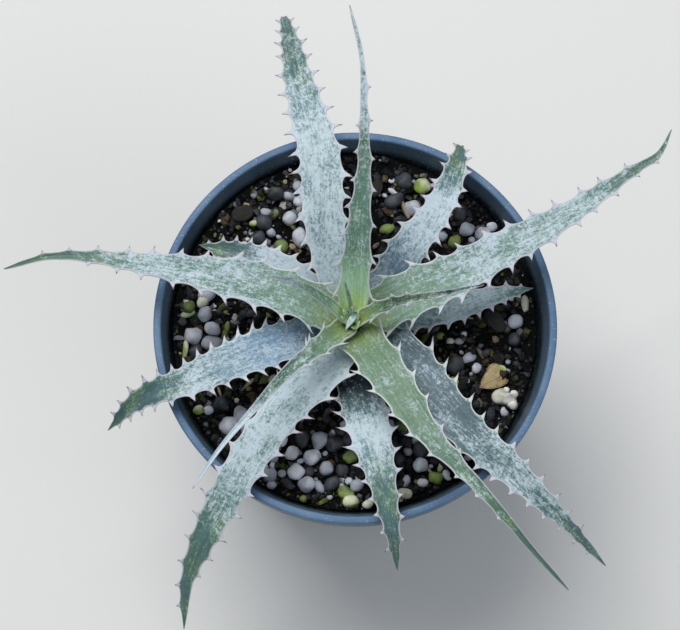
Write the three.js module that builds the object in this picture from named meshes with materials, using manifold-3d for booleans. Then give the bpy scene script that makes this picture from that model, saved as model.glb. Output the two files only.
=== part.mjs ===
// A spiny rosette plant in a nursery pot, in millimetres, Z up.
// The origin is the centre of the underside of the pot, which stands on the plane Z = 0.
// X points right and Y points away from someone who looks down at the plant from the front.
import * as THREE from "three";
import { mergeVertices } from "three/addons/utils/BufferGeometryUtils.js";
import Module from "manifold-3d";

const wasm = await Module();
wasm.setup();

// Driving dimensions
const GAP = 0.3; // running gap between pieces that touch on the real plant
const SIDES = 48; // facets round the pot and the potting mix

const POT = {
  height: 88,
  baseRadius: 37,
  rimRadius: 51,
  rimLand: 2, // width of the flat top of the rim
  rimRound: 0.5, // chamfer of its outer edge
  bandHeight: 9, // height of the thicker band under the rim
  bandStep: 2, // how far the band stands out of the wall
  bandSlope: 1.4, // height of the slope from the wall to the band
  bandTaper: 0.7, // how much narrower the band is at its foot
  footChamfer: 1,
  wall: 1.3,
  floor: 2.2,
  drainHoles: 8,
  drainRadius: 3.5,
  drainCircle: 27,
  drainSides: 12,
};

const MIX = {
  level: 76, // height of the surface round the stem
  towardBack: 2, // rise of the surface at the far wall
  towardRight: -0.8, // and at the right wall, where it falls
  toWall: 4.7, // rise of the surface all round, from the stem to the wall
  unevenness: 0.9,
  rings: [9, 16, 23, 30, 36, 41.5], // radii of the rings of facets on its surface
  seed: 41,
};

const STEM = {
  x: -1,
  y: 0,
  foot: 62, // underside, inside the potting mix
  collar: 77, // where the lowest leaves begin
  top: 92.5,
  collarRadius: 4.6,
  topRadius: 1.5,
  crown: 1.4, // height of the low cone on top
  sides: 12,
  well: 30, // height of the hole in the mix that it stands in, open at the top
};

// Tips of unopened leaves on top of the stem: [x and y from its axis, height, lean in degrees]
const BUDS = [
  [-0.3, -0.4, 5.2, 6],
  [0.4, -0.1, 4.2, -8],
];

const BUD = { radius: 0.8, sides: 6, sunk: 0.5 };

const BLADE = {
  edge: 0.6, // thickness along the margin
  middle: 2.2, // greatest thickness under the midline, near the base
  narrowMiddle: 0.8, // that of a leaf with no width, to which comes
  middlePerWidth: 1 / 8, // this share of the leaf's own width
  tipMiddle: 0.9, // thickness under the midline at the tip
  tipWidth: 0.7,
  ribStep: 5, // distance between points along the midline
  fewestRibs: 4,
  baseStep: 2.5, // distance between margin points before the first tooth
  tipStep: 5, // and after the last
  nestReach: 24, // distance from the stem over which the bases nest in one another
  steepest: 2, // rise over run that the nested bases follow at most
  clasp: 50, // degrees of the stem that half a base reaches round
};

const TOOTH = {
  height: 0.6, // on a blade of no width, to which comes
  perWidth: 1 / 6, // this share of the blade's width
  halfFoot: 0.16, // half the width of its foot, as a share of the pitch
  lean: 0.03, // how far its point leans to the leaf's base, as a share of the pitch
  footHeight: 0.3, // where its foot ends, as a share of its height
  valley: 0.4, // how far the margin dips between two teeth
  fullWidth: 6, // width of the blade from which it dips as far as that
  clear: 0.4, // share of the pitch that stays free of other points before the first tooth
};

// Every leaf from the youngest to the oldest. It leaves the stem at the height foot, with the width
// base, towards its first station. A station is [x, y, z, width], on the upper face.
// Teeth are [first, last, count], with both places in millimetres along the leaf from its foot.
// left and right are as seen from the stem, looking along the leaf.
const NO_TEETH = [0, 0, 0];
const LEAVES = [
  {
    name: "leaf_centre", foot: 93.8, base: 2, fold: 45, left: NO_TEETH, right: NO_TEETH, tone: 0,
    stations: [[-1.2, 2.8, 98, 1.7], [-1.9, 4.3, 102.5, 1.2], [-2.6, 5.8, 107, 0.7]],
  },
  {
    name: "leaf_upright_west", foot: 92, base: 3.2, fold: 55, left: [6, 16, 3], right: [7, 17, 3],
    tone: 0,
    stations: [[-7, 2, 102, 4.5], [-13.5, 3.5, 112, 3], [-20.5, 4, 119, 0.7]],
  },
  {
    name: "leaf_upright_east", foot: 91.5, base: 4.5, fold: 40, left: [8, 22, 3], right: [6, 23, 4],
    tone: 0,
    stations: [[6, 1.3, 99.5, 5], [13, 1.5, 107.5, 3.2], [21.5, 1, 114.5, 1.8], [30.5, 1.5, 120, 0.7]],
  },
  {
    name: "leaf_southwest_narrow", foot: 90.5, base: 7, fold: 28, left: [8, 38, 5], right: [8, 36, 5],
    tone: 0.25,
    stations: [[-9.5, -9, 99, 6], [-17.5, -17.5, 105, 4], [-24.5, -27, 111, 2.5], [-32, -37, 115, 1.5],
      [-38.5, -47.5, 118, 0.8]],
  },
  {
    name: "leaf_north_young", foot: 89.5, base: 8.5, fold: 18, left: [9, 52, 7], right: [9, 61, 7],
    tone: 0.25,
    stations: [[0, 10.5, 101, 8], [1, 21, 109, 6.3], [2, 32, 116.5, 3.8], [2, 43.5, 123.5, 2.2],
      [1.5, 55.5, 129, 1.2], [-1.5, 67.5, 134, 0.8]],
  },
  {
    name: "leaf_southeast_young", foot: 88.5, base: 11, fold: 16, left: [7, 46.5, 6], right: [7.5, 64.5, 9],
    tone: 0.3,
    stations: [[5.5, -11.5, 96.5, 11], [11.5, -21.5, 100.5, 9.3], [18, -32, 104, 6.5],
      [26.5, -41.5, 105, 3.8], [35, -51, 104, 2.4], [43, -60, 100.5, 1.4], [51.5, -68.5, 96, 0.8]],
  },
  {
    name: "leaf_west_long", foot: 87.5, base: 11, fold: 9, left: [10.5, 67.5, 9], right: [10.5, 79, 11],
    tone: 0.55,
    stations: [[-14, 5, 95, 11], [-26, 8, 98.5, 11.2], [-38.5, 10, 100.5, 8.8], [-51.5, 12, 101, 6.2],
      [-64, 14, 100, 3.8], [-76.5, 15, 97.5, 1.8], [-88.5, 13, 93, 0.8]],
  },
  {
    name: "leaf_east_long", foot: 86.5, base: 12, fold: 9, left: [13, 78.5, 11], right: [9, 86, 13],
    tone: 0.6,
    stations: [[12.5, 5.5, 94.5, 12.5], [25, 10, 98.5, 11.3], [36.5, 16, 100.5, 9.7], [48.5, 22, 102, 7.7],
      [59.5, 29, 102, 5.3], [69.5, 36, 102, 3], [76, 40, 103, 1.6], [79, 45.5, 106, 0.8]],
  },
  {
    name: "leaf_southwest_broad", foot: 85.5, base: 11, fold: 8, left: [12, 75.5, 11], right: [11, 85, 13],
    tone: 0.6,
    stations: [[-9.5, -13, 91, 11], [-17.5, -23, 93.5, 10.3], [-25, -33.5, 94, 10.2],
      [-31.5, -44, 91.5, 9], [-37.5, -54.5, 86.5, 7], [-42, -64.5, 79.5, 3.5], [-43, -75, 72, 0.8]],
  },
  {
    name: "leaf_north_broad", foot: 84.5, base: 10, fold: 8, left: [10, 91, 15], right: [14, 90.5, 14],
    tone: 0.8,
    stations: [[-5.5, 13.5, 92.5, 10], [-8, 25.5, 98.5, 10.8], [-8.7, 38.5, 101, 11], [-11.7, 51, 99, 9.6],
      [-14.7, 63.5, 95, 7.8], [-16.7, 75, 89, 5.3], [-18.7, 85.5, 81, 2.3]],
  },
  {
    name: "leaf_southeast_broad", foot: 83.5, base: 11.5, fold: 8, left: [12, 79, 13], right: [11, 84.5, 15],
    tone: 0.85,
    stations: [[11.5, -8, 90, 11.5], [19, -18, 93.5, 11], [27, -28.5, 94.5, 10], [36.8, -37.2, 93.5, 8.5],
      [46.3, -45.3, 89, 6], [54.5, -52, 82.5, 3.3], [63, -59.5, 75, 0.8]],
  },
  {
    name: "leaf_west_grey", foot: 82.5, base: 11, fold: 8, left: [11, 65.5, 13], right: [11, 64, 15],
    tone: 1,
    stations: [[-17, -4.5, 88.5, 10.7], [-29, -10, 93, 10.3], [-41.5, -16, 94, 8.3], [-54, -20, 89.5, 5.7],
      [-62.5, -26, 81, 0.8]],
  },
  {
    name: "leaf_northeast_short", foot: 81.5, base: 10.5, fold: 8, left: [12, 57.5, 10], right: [12, 56, 11],
    tone: 1,
    stations: [[8, 10.5, 87.5, 10.2], [13.5, 18, 95, 9.7], [20.5, 26.5, 99.5, 7.8], [25, 36.5, 99, 6.2],
      [27, 46, 92, 2.3]],
  },
  {
    name: "leaf_south_short", foot: 80.5, base: 11, fold: 8, left: [11, 55.5, 9], right: [11.5, 57.5, 11],
    tone: 1,
    stations: [[1, -16, 86, 11.7], [3.5, -28, 90.5, 11], [6.5, -41, 93, 7.6], [9, -53, 90, 4.3],
      [10.5, -61.5, 80, 0.8]],
  },
  {
    name: "leaf_northwest_low", foot: 79.8, base: 8.5, fold: 8, left: [13, 37, 7], right: [12, 40, 9],
    tone: 0.9,
    stations: [[-11.5, 10, 83, 9], [-20, 15.5, 85, 9], [-30, 19, 85, 7.3], [-40, 22, 84, 0.8]],
  },
  {
    name: "leaf_east_low", foot: 79, base: 7.5, fold: 8, left: [12, 41, 8], right: [13, 40, 8],
    tone: 0.9,
    stations: [[13.5, 3.5, 82, 8], [24, 5, 84.5, 8], [35, 8, 85, 5.5], [45.5, 10.5, 84, 0.8]],
  },
];

// Patches of slow release prills on the mix: [x, y, half width in x, half width in y, count]
const PRILL_PATCHES = [
  [-12, -35.5, 11, 10, 24],
  [19, -33, 8, 10, 10],
  [-40, 2, 4, 9, 7],
  [-31, -25, 4, 7, 5],
  [-20, 30, 6, 9, 7],
  [33, 29, 7, 4, 7],
  [14, 37, 5, 6, 4],
  [43, 3, 3, 6, 2],
  [25, -8, 4, 8, 3],
  [39, -17, 3, 3, 2],
];

const PRILL = {
  smallest: 1.7, // radius
  largest: 2.3,
  lift: 0.35, // height of its centre over the mix, as a share of its radius
  spacing: 3.9,
  fromStem: 11,
  fromWall: 1,
  tries: 20, // draws for each prill before its patch counts as full
};

// Bark chips on the mix: [x, y, length, width, turn in degrees]
const CHIPS = [
  [35, -12, 8, 5, 35],
  [36, 3, 7, 4, -50],
  [-29, 31, 6, 4, 20],
  [5.5, 38, 5, 3, 70],
  [-24, -8, 6, 4, 10],
  [14, -22, 6, 4, -30],
];

const CHIP = { thickness: 2.4, tip: 14, lift: 0.4 }; // tip in degrees about its length

// Small helpers
const degrees = Math.PI / 180;
const mixOf = (a, b, t) => a + (b - a) * t;

function seededRandom(seed) {
  let state = seed;
  return () => {
    state = (state * 16807) % 2147483647;
    return state / 2147483647;
  };
}

function colourOf(hex, roughness) {
  return new THREE.MeshStandardMaterial({ color: hex, roughness, metalness: 0 });
}

// A closed mesh as a solid that can be joined and cut
function solidOf(geometry) {
  const bare = geometry.clone();
  bare.deleteAttribute("normal");
  bare.deleteAttribute("uv");
  const merged = mergeVertices(bare, 1e-4);
  return new wasm.Manifold(new wasm.Mesh({
    numProp: 3,
    vertProperties: new Float32Array(merged.attributes.position.array),
    triVerts: new Uint32Array(merged.index.array),
  }));
}

function geometryOf(solid) {
  const mesh = solid.getMesh();
  const geometry = new THREE.BufferGeometry();
  geometry.setAttribute("position", new THREE.BufferAttribute(mesh.vertProperties, 3));
  geometry.setIndex(new THREE.BufferAttribute(mesh.triVerts, 1));
  geometry.computeVertexNormals();
  return geometry;
}

function geometryFrom(points, triangles) {
  const geometry = new THREE.BufferGeometry();
  geometry.setFromPoints(points);
  geometry.setIndex(triangles.flat());
  geometry.computeVertexNormals();
  return geometry;
}

function namedMesh(name, geometry, material) {
  const mesh = new THREE.Mesh(geometry, material);
  mesh.name = name;
  return mesh;
}

// Turns a profile of [radius, height] pairs round the upright axis
function turned(profile, sides) {
  const outline = profile.map(([radius, height]) => new THREE.Vector2(radius, height));
  return new THREE.LatheGeometry(outline, sides).rotateX(Math.PI / 2);
}

// Pot

// Radius of the outer wall below the rim band
function outerWall(height) {
  return mixOf(POT.baseRadius, POT.rimRadius - POT.bandStep, height / POT.height);
}

function innerWall(height) {
  return outerWall(height) - POT.wall;
}

function potGeometry() {
  const bandFoot = POT.height - POT.bandHeight;
  const slopeFoot = bandFoot - POT.bandSlope;
  const wall = turned([
    [0, 0],
    [POT.baseRadius - POT.footChamfer, 0],
    [POT.baseRadius, POT.footChamfer],
    [outerWall(slopeFoot), slopeFoot],
    [POT.rimRadius - POT.bandTaper, bandFoot],
    [POT.rimRadius, POT.height - POT.rimRound],
    [POT.rimRadius - POT.rimRound, POT.height],
    [POT.rimRadius - POT.rimLand, POT.height],
    [innerWall(bandFoot), bandFoot],
    [innerWall(POT.floor), POT.floor],
    [0, POT.floor],
  ], SIDES);
  const drill = new THREE.CylinderGeometry(
    POT.drainRadius, POT.drainRadius, 4 * POT.floor, POT.drainSides).rotateX(Math.PI / 2);
  let pot = solidOf(wall);
  for (let i = 0; i < POT.drainHoles; i += 1) {
    const turn = (i + 0.5) * 2 * Math.PI / POT.drainHoles;
    const hole = drill.clone();
    hole.translate(POT.drainCircle * Math.cos(turn), POT.drainCircle * Math.sin(turn), 0);
    pot = pot.subtract(solidOf(hole));
  }
  return geometryOf(pot);
}

// Potting mix

// Height of the mix at a place: a dish that tilts, with a low swell and a rougher ripple
function mixHeight(x, y) {
  const tilt = MIX.towardBack * y / POT.rimRadius + MIX.towardRight * x / POT.rimRadius;
  const dish = MIX.toWall * (Math.hypot(x, y) / innerWall(MIX.level)) ** 4;
  const swell = Math.sin(0.17 * x + 1.3) * Math.cos(0.15 * y - 0.4);
  const ripple = 0.55 * Math.sin(0.61 * x - 0.27 * y) * Math.sin(0.33 * x + 0.58 * y + 0.8);
  return MIX.level + tilt + dish + MIX.unevenness * (swell + ripple);
}

// One column of points from the middle of the surface out to the wall and down to the floor
function mixColumn(turn) {
  const across = Math.sin(turn);
  const away = Math.cos(turn);
  const foot = POT.floor + GAP;
  const rim = innerWall(MIX.level) - GAP;
  const edge = mixHeight(rim * across, rim * away);
  const surface = MIX.rings.map((radius) => [radius, mixHeight(radius * across, radius * away)]);
  return [...surface, [innerWall(edge) - GAP, edge], [innerWall(foot) - GAP, foot]]
    .map(([radius, z]) => new THREE.Vector3(radius * across, radius * away, z));
}

function mixBody() {
  const columns = Array.from({ length: SIDES }, (_, i) => mixColumn(i * 2 * Math.PI / SIDES));
  const rows = columns[0].length;
  const top = new THREE.Vector3(0, 0, mixHeight(0, 0));
  const bottom = new THREE.Vector3(0, 0, POT.floor + GAP);
  const points = [top, ...columns.flat(), bottom];
  const triangles = [];
  for (let i = 0; i < SIDES; i += 1) {
    const here = 1 + i * rows;
    const next = 1 + (i + 1) % SIDES * rows;
    triangles.push([0, next, here], [points.length - 1, here + rows - 1, next + rows - 1]);
    for (let row = 0; row < rows - 1; row += 1) {
      const across = next + row + 1;
      triangles.push([here + row, next + row, across], [here + row, across, here + row + 1]);
    }
  }
  return geometryFrom(points, triangles);
}

// Places of the prills: drawn in their patches, none too near another, the stem or the wall
function prillPlaces() {
  const random = seededRandom(MIX.seed);
  const places = [];
  for (const [cx, cy, halfX, halfY, count] of PRILL_PATCHES) {
    for (let left = count, tries = 0; left > 0 && tries < count * PRILL.tries; tries += 1) {
      const x = cx + (2 * random() - 1) * halfX;
      const y = cy + (2 * random() - 1) * halfY;
      const radius = mixOf(PRILL.smallest, PRILL.largest, random());
      const inWall = Math.hypot(x, y) < innerWall(MIX.level) - GAP - radius - PRILL.fromWall;
      const offStem = Math.hypot(x - STEM.x, y - STEM.y) > PRILL.fromStem;
      const clear = places.every((other) => Math.hypot(x - other.x, y - other.y) > PRILL.spacing);
      if (inWall && offStem && clear) {
        places.push({ x, y, radius });
        left -= 1;
      }
    }
  }
  return places;
}

function mixGeometry() {
  let mix = solidOf(mixBody());
  const random = seededRandom(MIX.seed + 1);
  for (const { x, y, radius } of prillPlaces()) {
    const prill = new THREE.IcosahedronGeometry(radius, 0);
    prill.rotateX(2 * Math.PI * random());
    prill.rotateZ(2 * Math.PI * random());
    prill.translate(x, y, mixHeight(x, y) + radius * PRILL.lift);
    mix = mix.add(solidOf(prill));
  }
  for (const [x, y, length, width, turn] of CHIPS) {
    const chip = new THREE.BoxGeometry(length, width, CHIP.thickness);
    chip.rotateX(CHIP.tip * degrees);
    chip.rotateZ(turn * degrees);
    chip.translate(x, y, mixHeight(x, y) + CHIP.lift);
    mix = mix.add(solidOf(chip));
  }
  const wellRadius = STEM.collarRadius + GAP;
  const well = new THREE.CylinderGeometry(wellRadius, wellRadius, STEM.well, STEM.sides);
  well.rotateX(Math.PI / 2).translate(STEM.x, STEM.y, STEM.foot - GAP + STEM.well / 2);
  return geometryOf(mix.subtract(solidOf(well)));
}

// Stem, with the buds that close the heart

function stemRadius(height) {
  const climb = (height - STEM.collar) / (STEM.top - STEM.collar);
  return mixOf(STEM.collarRadius, STEM.topRadius, Math.min(Math.max(climb, 0), 1));
}

function stemGeometry() {
  const body = turned([
    [0, STEM.foot],
    [STEM.collarRadius, STEM.foot],
    [STEM.collarRadius, STEM.collar],
    [STEM.topRadius, STEM.top],
    [0, STEM.top + STEM.crown],
  ], STEM.sides).translate(STEM.x, STEM.y, 0);
  let stem = solidOf(body);
  for (const [x, y, height, lean] of BUDS) {
    const bud = new THREE.ConeGeometry(BUD.radius, height, BUD.sides, 1).rotateX(Math.PI / 2);
    bud.translate(0, 0, height / 2).rotateY(lean * degrees);
    bud.translate(STEM.x + x, STEM.y + y, STEM.top - BUD.sunk);
    stem = stem.add(solidOf(bud));
  }
  return geometryOf(stem);
}

// Leaves

// Points along one margin, each with its place along the leaf and its distance from the midline:
// three to a tooth, one in each valley between two teeth, and plain ones before and after
function marginPoints([first, last, count], length, widthAt) {
  const pitch = count > 1 ? (last - first) / (count - 1) : 0;
  const plain = (at) => ({ at, out: widthAt(at) / 2 });
  const points = [plain(0)];
  for (let at = BLADE.baseStep; at < first - TOOTH.clear * pitch; at += BLADE.baseStep) {
    points.push(plain(at));
  }
  for (let i = 0; i < count; i += 1) {
    const at = first + i * pitch;
    const width = widthAt(at);
    const height = TOOTH.height + width * TOOTH.perWidth;
    const dip = TOOTH.valley * Math.min(1, width / TOOTH.fullWidth);
    const foot = width / 2 - dip + height * TOOTH.footHeight;
    points.push({ at: at - TOOTH.halfFoot * pitch, out: foot });
    points.push({ at: at - TOOTH.lean * pitch, out: width / 2 - dip + height });
    points.push({ at: at + TOOTH.halfFoot * pitch, out: foot });
    if (i < count - 1) {
      const middle = at + pitch / 2;
      points.push({ at: middle, out: widthAt(middle) / 2 - dip });
    }
  }
  const tail = Math.max(1, Math.round((length - last) / BLADE.tipStep));
  for (let i = 1; i < tail; i += 1) {
    points.push(plain(mixOf(last, length, i / tail)));
  }
  points.push(plain(length));
  return points;
}

// Joins two rows of points, given by their places along the leaf, by triangles between them
function zip(rowA, rowB, placesA, placesB) {
  const triangles = [];
  let i = 0;
  let j = 0;
  while (i < rowA.length - 1 || j < rowB.length - 1) {
    const stepA = j === rowB.length - 1
      || (i < rowA.length - 1 && placesA[i + 1] + placesA[i] < placesB[j + 1] + placesB[j]);
    if (stepA) {
      triangles.push([rowA[i], rowB[j], rowA[i + 1]]);
      i += 1;
    } else {
      triangles.push([rowA[i], rowB[j], rowB[j + 1]]);
      j += 1;
    }
  }
  return triangles;
}

// Where a leaf starts, just off the stem: [x, y, z, width]
function footOf(leaf) {
  const [x, y] = leaf.stations[0];
  const heading = Math.atan2(y - STEM.y, x - STEM.x);
  const reach = stemRadius(leaf.foot - BLADE.middle) + GAP;
  const x0 = STEM.x + reach * Math.cos(heading);
  const y0 = STEM.y + reach * Math.sin(heading);
  return [x0, y0, leaf.foot, leaf.base];
}

// The curved sheet of a leaf: its length, its width at a place along it, and place, which gives
// a point of it. Near the stem its section bends round the stem, so that the bases clasp it and
// nest in one another like funnels; further out both halves rise from the midline by the fold.
function sheetOf(leaf) {
  const stations = [footOf(leaf), ...leaf.stations];
  const line = new THREE.CatmullRomCurve3(
    stations.map(([x, y, z]) => new THREE.Vector3(x, y, z)), false, "catmullrom", 0.5);
  const widths = new THREE.CatmullRomCurve3(
    stations.map(([, , , width]) => new THREE.Vector3(width, 0, 0)), false, "catmullrom", 0.5);
  const length = line.getLength();
  const parameter = (at) => line.getUtoTmapping(Math.min(Math.max(at / length, 0), 1));
  const reachOf = (point) => Math.hypot(point.x - STEM.x, point.y - STEM.y);
  const widthAt = (at) => {
    const t = parameter(at);
    const widest = 2 * BLADE.clasp * degrees * reachOf(line.getPoint(t));
    return Math.min(widest, Math.max(BLADE.tipWidth, widths.getPoint(t).x));
  };
  const rise = Math.tan(leaf.fold * degrees);

  // at is along the midline, out to the left of it, and down under the upper face
  const place = (at, out, down) => {
    const t = parameter(at);
    const middle = line.getPoint(t);
    const ahead = line.getTangent(t);
    const level = Math.hypot(ahead.x, ahead.y);
    const forward = new THREE.Vector3(ahead.x / level, ahead.y / level, 0);
    const left = new THREE.Vector3(-forward.y, forward.x, 0);
    const reach = reachOf(middle);
    const nest = Math.max(0, 1 - reach / BLADE.nestReach);
    const bend = nest / reach;
    const turn = bend * out;
    const aside = bend > 0 ? Math.sin(turn) / bend : out;
    const back = bend > 0 ? (1 - Math.cos(turn)) / bend : 0;
    const up = forward.clone().multiplyScalar(Math.cos(turn)).addScaledVector(left, Math.sin(turn));
    up.multiplyScalar(-ahead.z).setZ(level);
    const point = middle.clone().addScaledVector(left, aside).addScaledVector(forward, -back);
    point.z += nest * Math.min(ahead.z / level, BLADE.steepest) * (reachOf(point) - reach);
    return point.addScaledVector(up, (1 - nest) * Math.abs(out) * rise - down);
  };
  return { length, widthAt, place };
}

function leafGeometry(leaf) {
  const { length, widthAt, place } = sheetOf(leaf);
  const ribs = Math.max(BLADE.fewestRibs, Math.round(length / BLADE.ribStep));
  const middle = Array.from({ length: ribs + 1 }, (_, i) => ({ at: i * length / ribs, out: 0 }));
  const left = marginPoints(leaf.left, length, widthAt);
  const right = marginPoints(leaf.right, length, widthAt)
    .map(({ at, out }) => ({ at, out: -out }));
  const ownWidth = widthAt(length / 5);
  const thickest = Math.min(BLADE.middle, BLADE.narrowMiddle + ownWidth * BLADE.middlePerWidth);
  const rib = (at) => mixOf(thickest, BLADE.tipMiddle, at / length);

  const points = [];
  const addRow = (row, depthAt) => row.map(({ at, out }) => {
    points.push(place(at, out, depthAt(at)));
    return points.length - 1;
  });
  const [leftTop, midTop, rightTop] = [left, middle, right].map((row) => addRow(row, () => 0));
  const [leftLow, midLow, rightLow] = [
    addRow(left, () => BLADE.edge),
    addRow(middle, rib),
    addRow(right, () => BLADE.edge),
  ];
  const placesOf = (row) => row.map(({ at }) => at);
  const [leftPlaces, middlePlaces, rightPlaces] = [left, middle, right].map(placesOf);
  const turnedOver = (list) => list.map(([a, b, c]) => [a, c, b]);
  const triangles = [
    ...zip(leftTop, midTop, leftPlaces, middlePlaces),
    ...zip(midTop, rightTop, middlePlaces, rightPlaces),
    ...turnedOver(zip(leftLow, midLow, leftPlaces, middlePlaces)),
    ...turnedOver(zip(midLow, rightLow, middlePlaces, rightPlaces)),
    ...zip(leftLow, leftTop, leftPlaces, leftPlaces),
    ...zip(rightTop, rightLow, rightPlaces, rightPlaces),
  ];
  const endOf = (pick) => {
    const [a, b, c, d, e, f] = [leftTop, midTop, rightTop, rightLow, midLow, leftLow].map(pick);
    return [[a, b, e], [a, e, f], [b, c, d], [b, d, e]];
  };
  triangles.push(...turnedOver(endOf((row) => row[0])), ...endOf((row) => row.at(-1)));
  return geometryFrom(points, triangles);
}

// Leaf colours run from the green heart to the grey outer leaves
function leafColour(tone) {
  const young = new THREE.Color(0x7f9c68);
  const old = new THREE.Color(0x9db2b4);
  return young.lerp(old, tone).getHex();
}

const plant = new THREE.Group();
plant.add(namedMesh("pot", potGeometry(), colourOf(0x6e8caa, 0.45)));
plant.add(namedMesh("potting_mix", mixGeometry(), colourOf(0x241f1b, 0.95)));
plant.add(namedMesh("stem", stemGeometry(), colourOf(0x8fa860, 0.6)));
for (const leaf of LEAVES) {
  plant.add(namedMesh(leaf.name, leafGeometry(leaf), colourOf(leafColour(leaf.tone), 0.6)));
}

export default plant;
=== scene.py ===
# %% [markdown]
# # A spiny rosette plant in its nursery pot
#
# The plant is a young bromeliad: sixteen long grey-green leaves in a spiral round a short stem,
# each with a row of hooked spines down both margins and a dusting of white scurf. It stands in a
# plastic pot of dark gritty mix, and it is seen almost from straight above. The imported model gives
# every piece its place. This script puts the fine surface on top: one cell for each piece or finish.

# %% Load the fixed frame
import math

import bmesh
import bpy
import numpy as np
from mathutils import Matrix, Vector, noise


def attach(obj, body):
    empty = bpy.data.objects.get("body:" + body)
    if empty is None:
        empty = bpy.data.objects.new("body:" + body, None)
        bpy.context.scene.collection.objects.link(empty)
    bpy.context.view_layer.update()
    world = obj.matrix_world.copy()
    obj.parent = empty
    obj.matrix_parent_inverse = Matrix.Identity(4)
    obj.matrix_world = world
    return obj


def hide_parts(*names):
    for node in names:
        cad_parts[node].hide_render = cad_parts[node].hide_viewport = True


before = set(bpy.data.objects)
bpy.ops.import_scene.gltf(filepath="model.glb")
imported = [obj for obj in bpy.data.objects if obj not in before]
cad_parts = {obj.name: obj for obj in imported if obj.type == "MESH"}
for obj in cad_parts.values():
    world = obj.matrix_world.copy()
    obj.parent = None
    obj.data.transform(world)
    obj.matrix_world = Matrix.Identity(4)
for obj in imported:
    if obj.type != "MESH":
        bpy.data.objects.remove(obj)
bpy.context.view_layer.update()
print("nodes in the frame:", len(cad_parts))

# %% [markdown]
# The pot, the stem and every leaf were measured in millimetres, and Blender works in metres, so one
# value turns the one into the other. The driving sizes are those of a four inch nursery pot.

# %% Driving sizes
MM = 0.001
POT_HEIGHT = 88
POT_RIM = 51  # outer radius of the rim
POT_BASE = 37  # outer radius of the foot
RIM_LAND = 2  # width of the rim's flat top
BAND_HEIGHT = 9  # of the thick band under the rim
BAND_STEP = 2  # how far the band stands out from the wall
POT_WALL = 1.3
POT_FLOOR = 2.2
GAP = 0.3  # between the mix and the pot
STEM_X = -1  # the stem stands a little left of the middle
STEM_COLLAR = 77  # height from which the stem narrows
STEM_TOP = 92.5
COLLAR_RADIUS = 4.6
TOP_RADIUS = 1.5
print("pot", 2 * POT_RIM, "mm wide and", POT_HEIGHT, "mm high")

# %% [markdown]
# A camera for a match to a photograph is best set from what can be measured in it. The rim is a
# circle of known size, and its ellipse gives three things: how far the camera looks down, how many
# pixels one millimetre takes, and so, at a given distance, the focal length. The camera isn't
# shifted: it stands a little to the side, so that the rim falls where it does in the photograph.

# %% Camera
IMAGE = (680, 630)
RIM_WIDTH_PX = 404.2
RIM_CENTRE_PX = (355.2, 323.8)
LOOK_DOWN = math.radians(75.5)
CAMERA_DISTANCE = 600
SENSOR = 36

mm_per_px = 2 * POT_RIM / RIM_WIDTH_PX
focal_px = CAMERA_DISTANCE / mm_per_px
camera_data = bpy.data.cameras.new("camera")
camera_data.sensor_width = SENSOR
camera_data.lens = SENSOR * focal_px / IMAGE[0]
camera = bpy.data.objects.new("camera", camera_data)
bpy.context.scene.collection.objects.link(camera)
forward = Vector((0, math.cos(LOOK_DOWN), -math.sin(LOOK_DOWN)))
upward = Vector((0, math.sin(LOOK_DOWN), math.cos(LOOK_DOWN)))
aside_mm = (RIM_CENTRE_PX[0] - IMAGE[0] / 2) * mm_per_px
below_mm = (RIM_CENTRE_PX[1] - IMAGE[1] / 2) * mm_per_px
eye = Vector((0, 0, POT_HEIGHT)) - CAMERA_DISTANCE * forward
eye += -aside_mm * Vector((1, 0, 0)) + below_mm * upward
camera.location = eye * MM
camera.rotation_euler = (math.pi / 2 - LOOK_DOWN, 0, 0)
bpy.context.scene.camera = camera
print("lens", round(camera_data.lens, 1), "mm, camera at", [round(v) for v in eye])

# %% [markdown]
# The light in a plant photograph like this is a broad soft one from above, a little behind the
# plant, with weak fill. Large area lights give that, and a pale floor throws some of it back up.
# The lights are hidden from the camera, because other views may look through them.

# %% Floor, lights and sky
def put_light(name, size, power, place, colour):
    """A square area light that looks at the plant's heart, in metres and watts."""
    data = bpy.data.lights.new(name, "AREA")
    data.shape = "SQUARE"
    data.size = size
    data.energy = power
    data.color = colour
    light = bpy.data.objects.new(name, data)
    bpy.context.scene.collection.objects.link(light)
    light.location = place
    heart = Vector((0, 0, POT_HEIGHT * MM))
    light.rotation_euler = (heart - Vector(place)).to_track_quat("-Z", "Y").to_euler()
    light.visible_camera = False


put_light("key_light", 0.7, 10.5, (-0.25, 0.45, 1.05), (1.0, 0.99, 0.97))
put_light("fill_light", 0.9, 3.2, (0.8, -0.6, 0.7), (0.93, 0.97, 1.0))

sky = bpy.data.worlds.new("soft_sky")
sky.use_nodes = True
sky.node_tree.nodes["Background"].inputs["Color"].default_value = (0.86, 0.92, 1.0, 1)
sky.node_tree.nodes["Background"].inputs["Strength"].default_value = 0.28
bpy.context.scene.world = sky
bpy.context.scene.view_settings.view_transform = "Standard"

FLOOR_HALF = 3.0
floor_mesh = bpy.data.meshes.new("floor")
bm = bmesh.new()
bmesh.ops.create_grid(bm, x_segments=1, y_segments=1, size=FLOOR_HALF)
bm.to_mesh(floor_mesh)
bm.free()
floor = bpy.data.objects.new("floor", floor_mesh)
bpy.context.scene.collection.objects.link(floor)
print("floor", 2 * FLOOR_HALF, "m across, two lights and a weak sky")

# %% [markdown]
# Every finish here is a node graph, and a graph is easier to read when each node takes one line.
# `put` adds a node and wires or sets its inputs, and the small helpers below name the few sums that
# come again and again.

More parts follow.
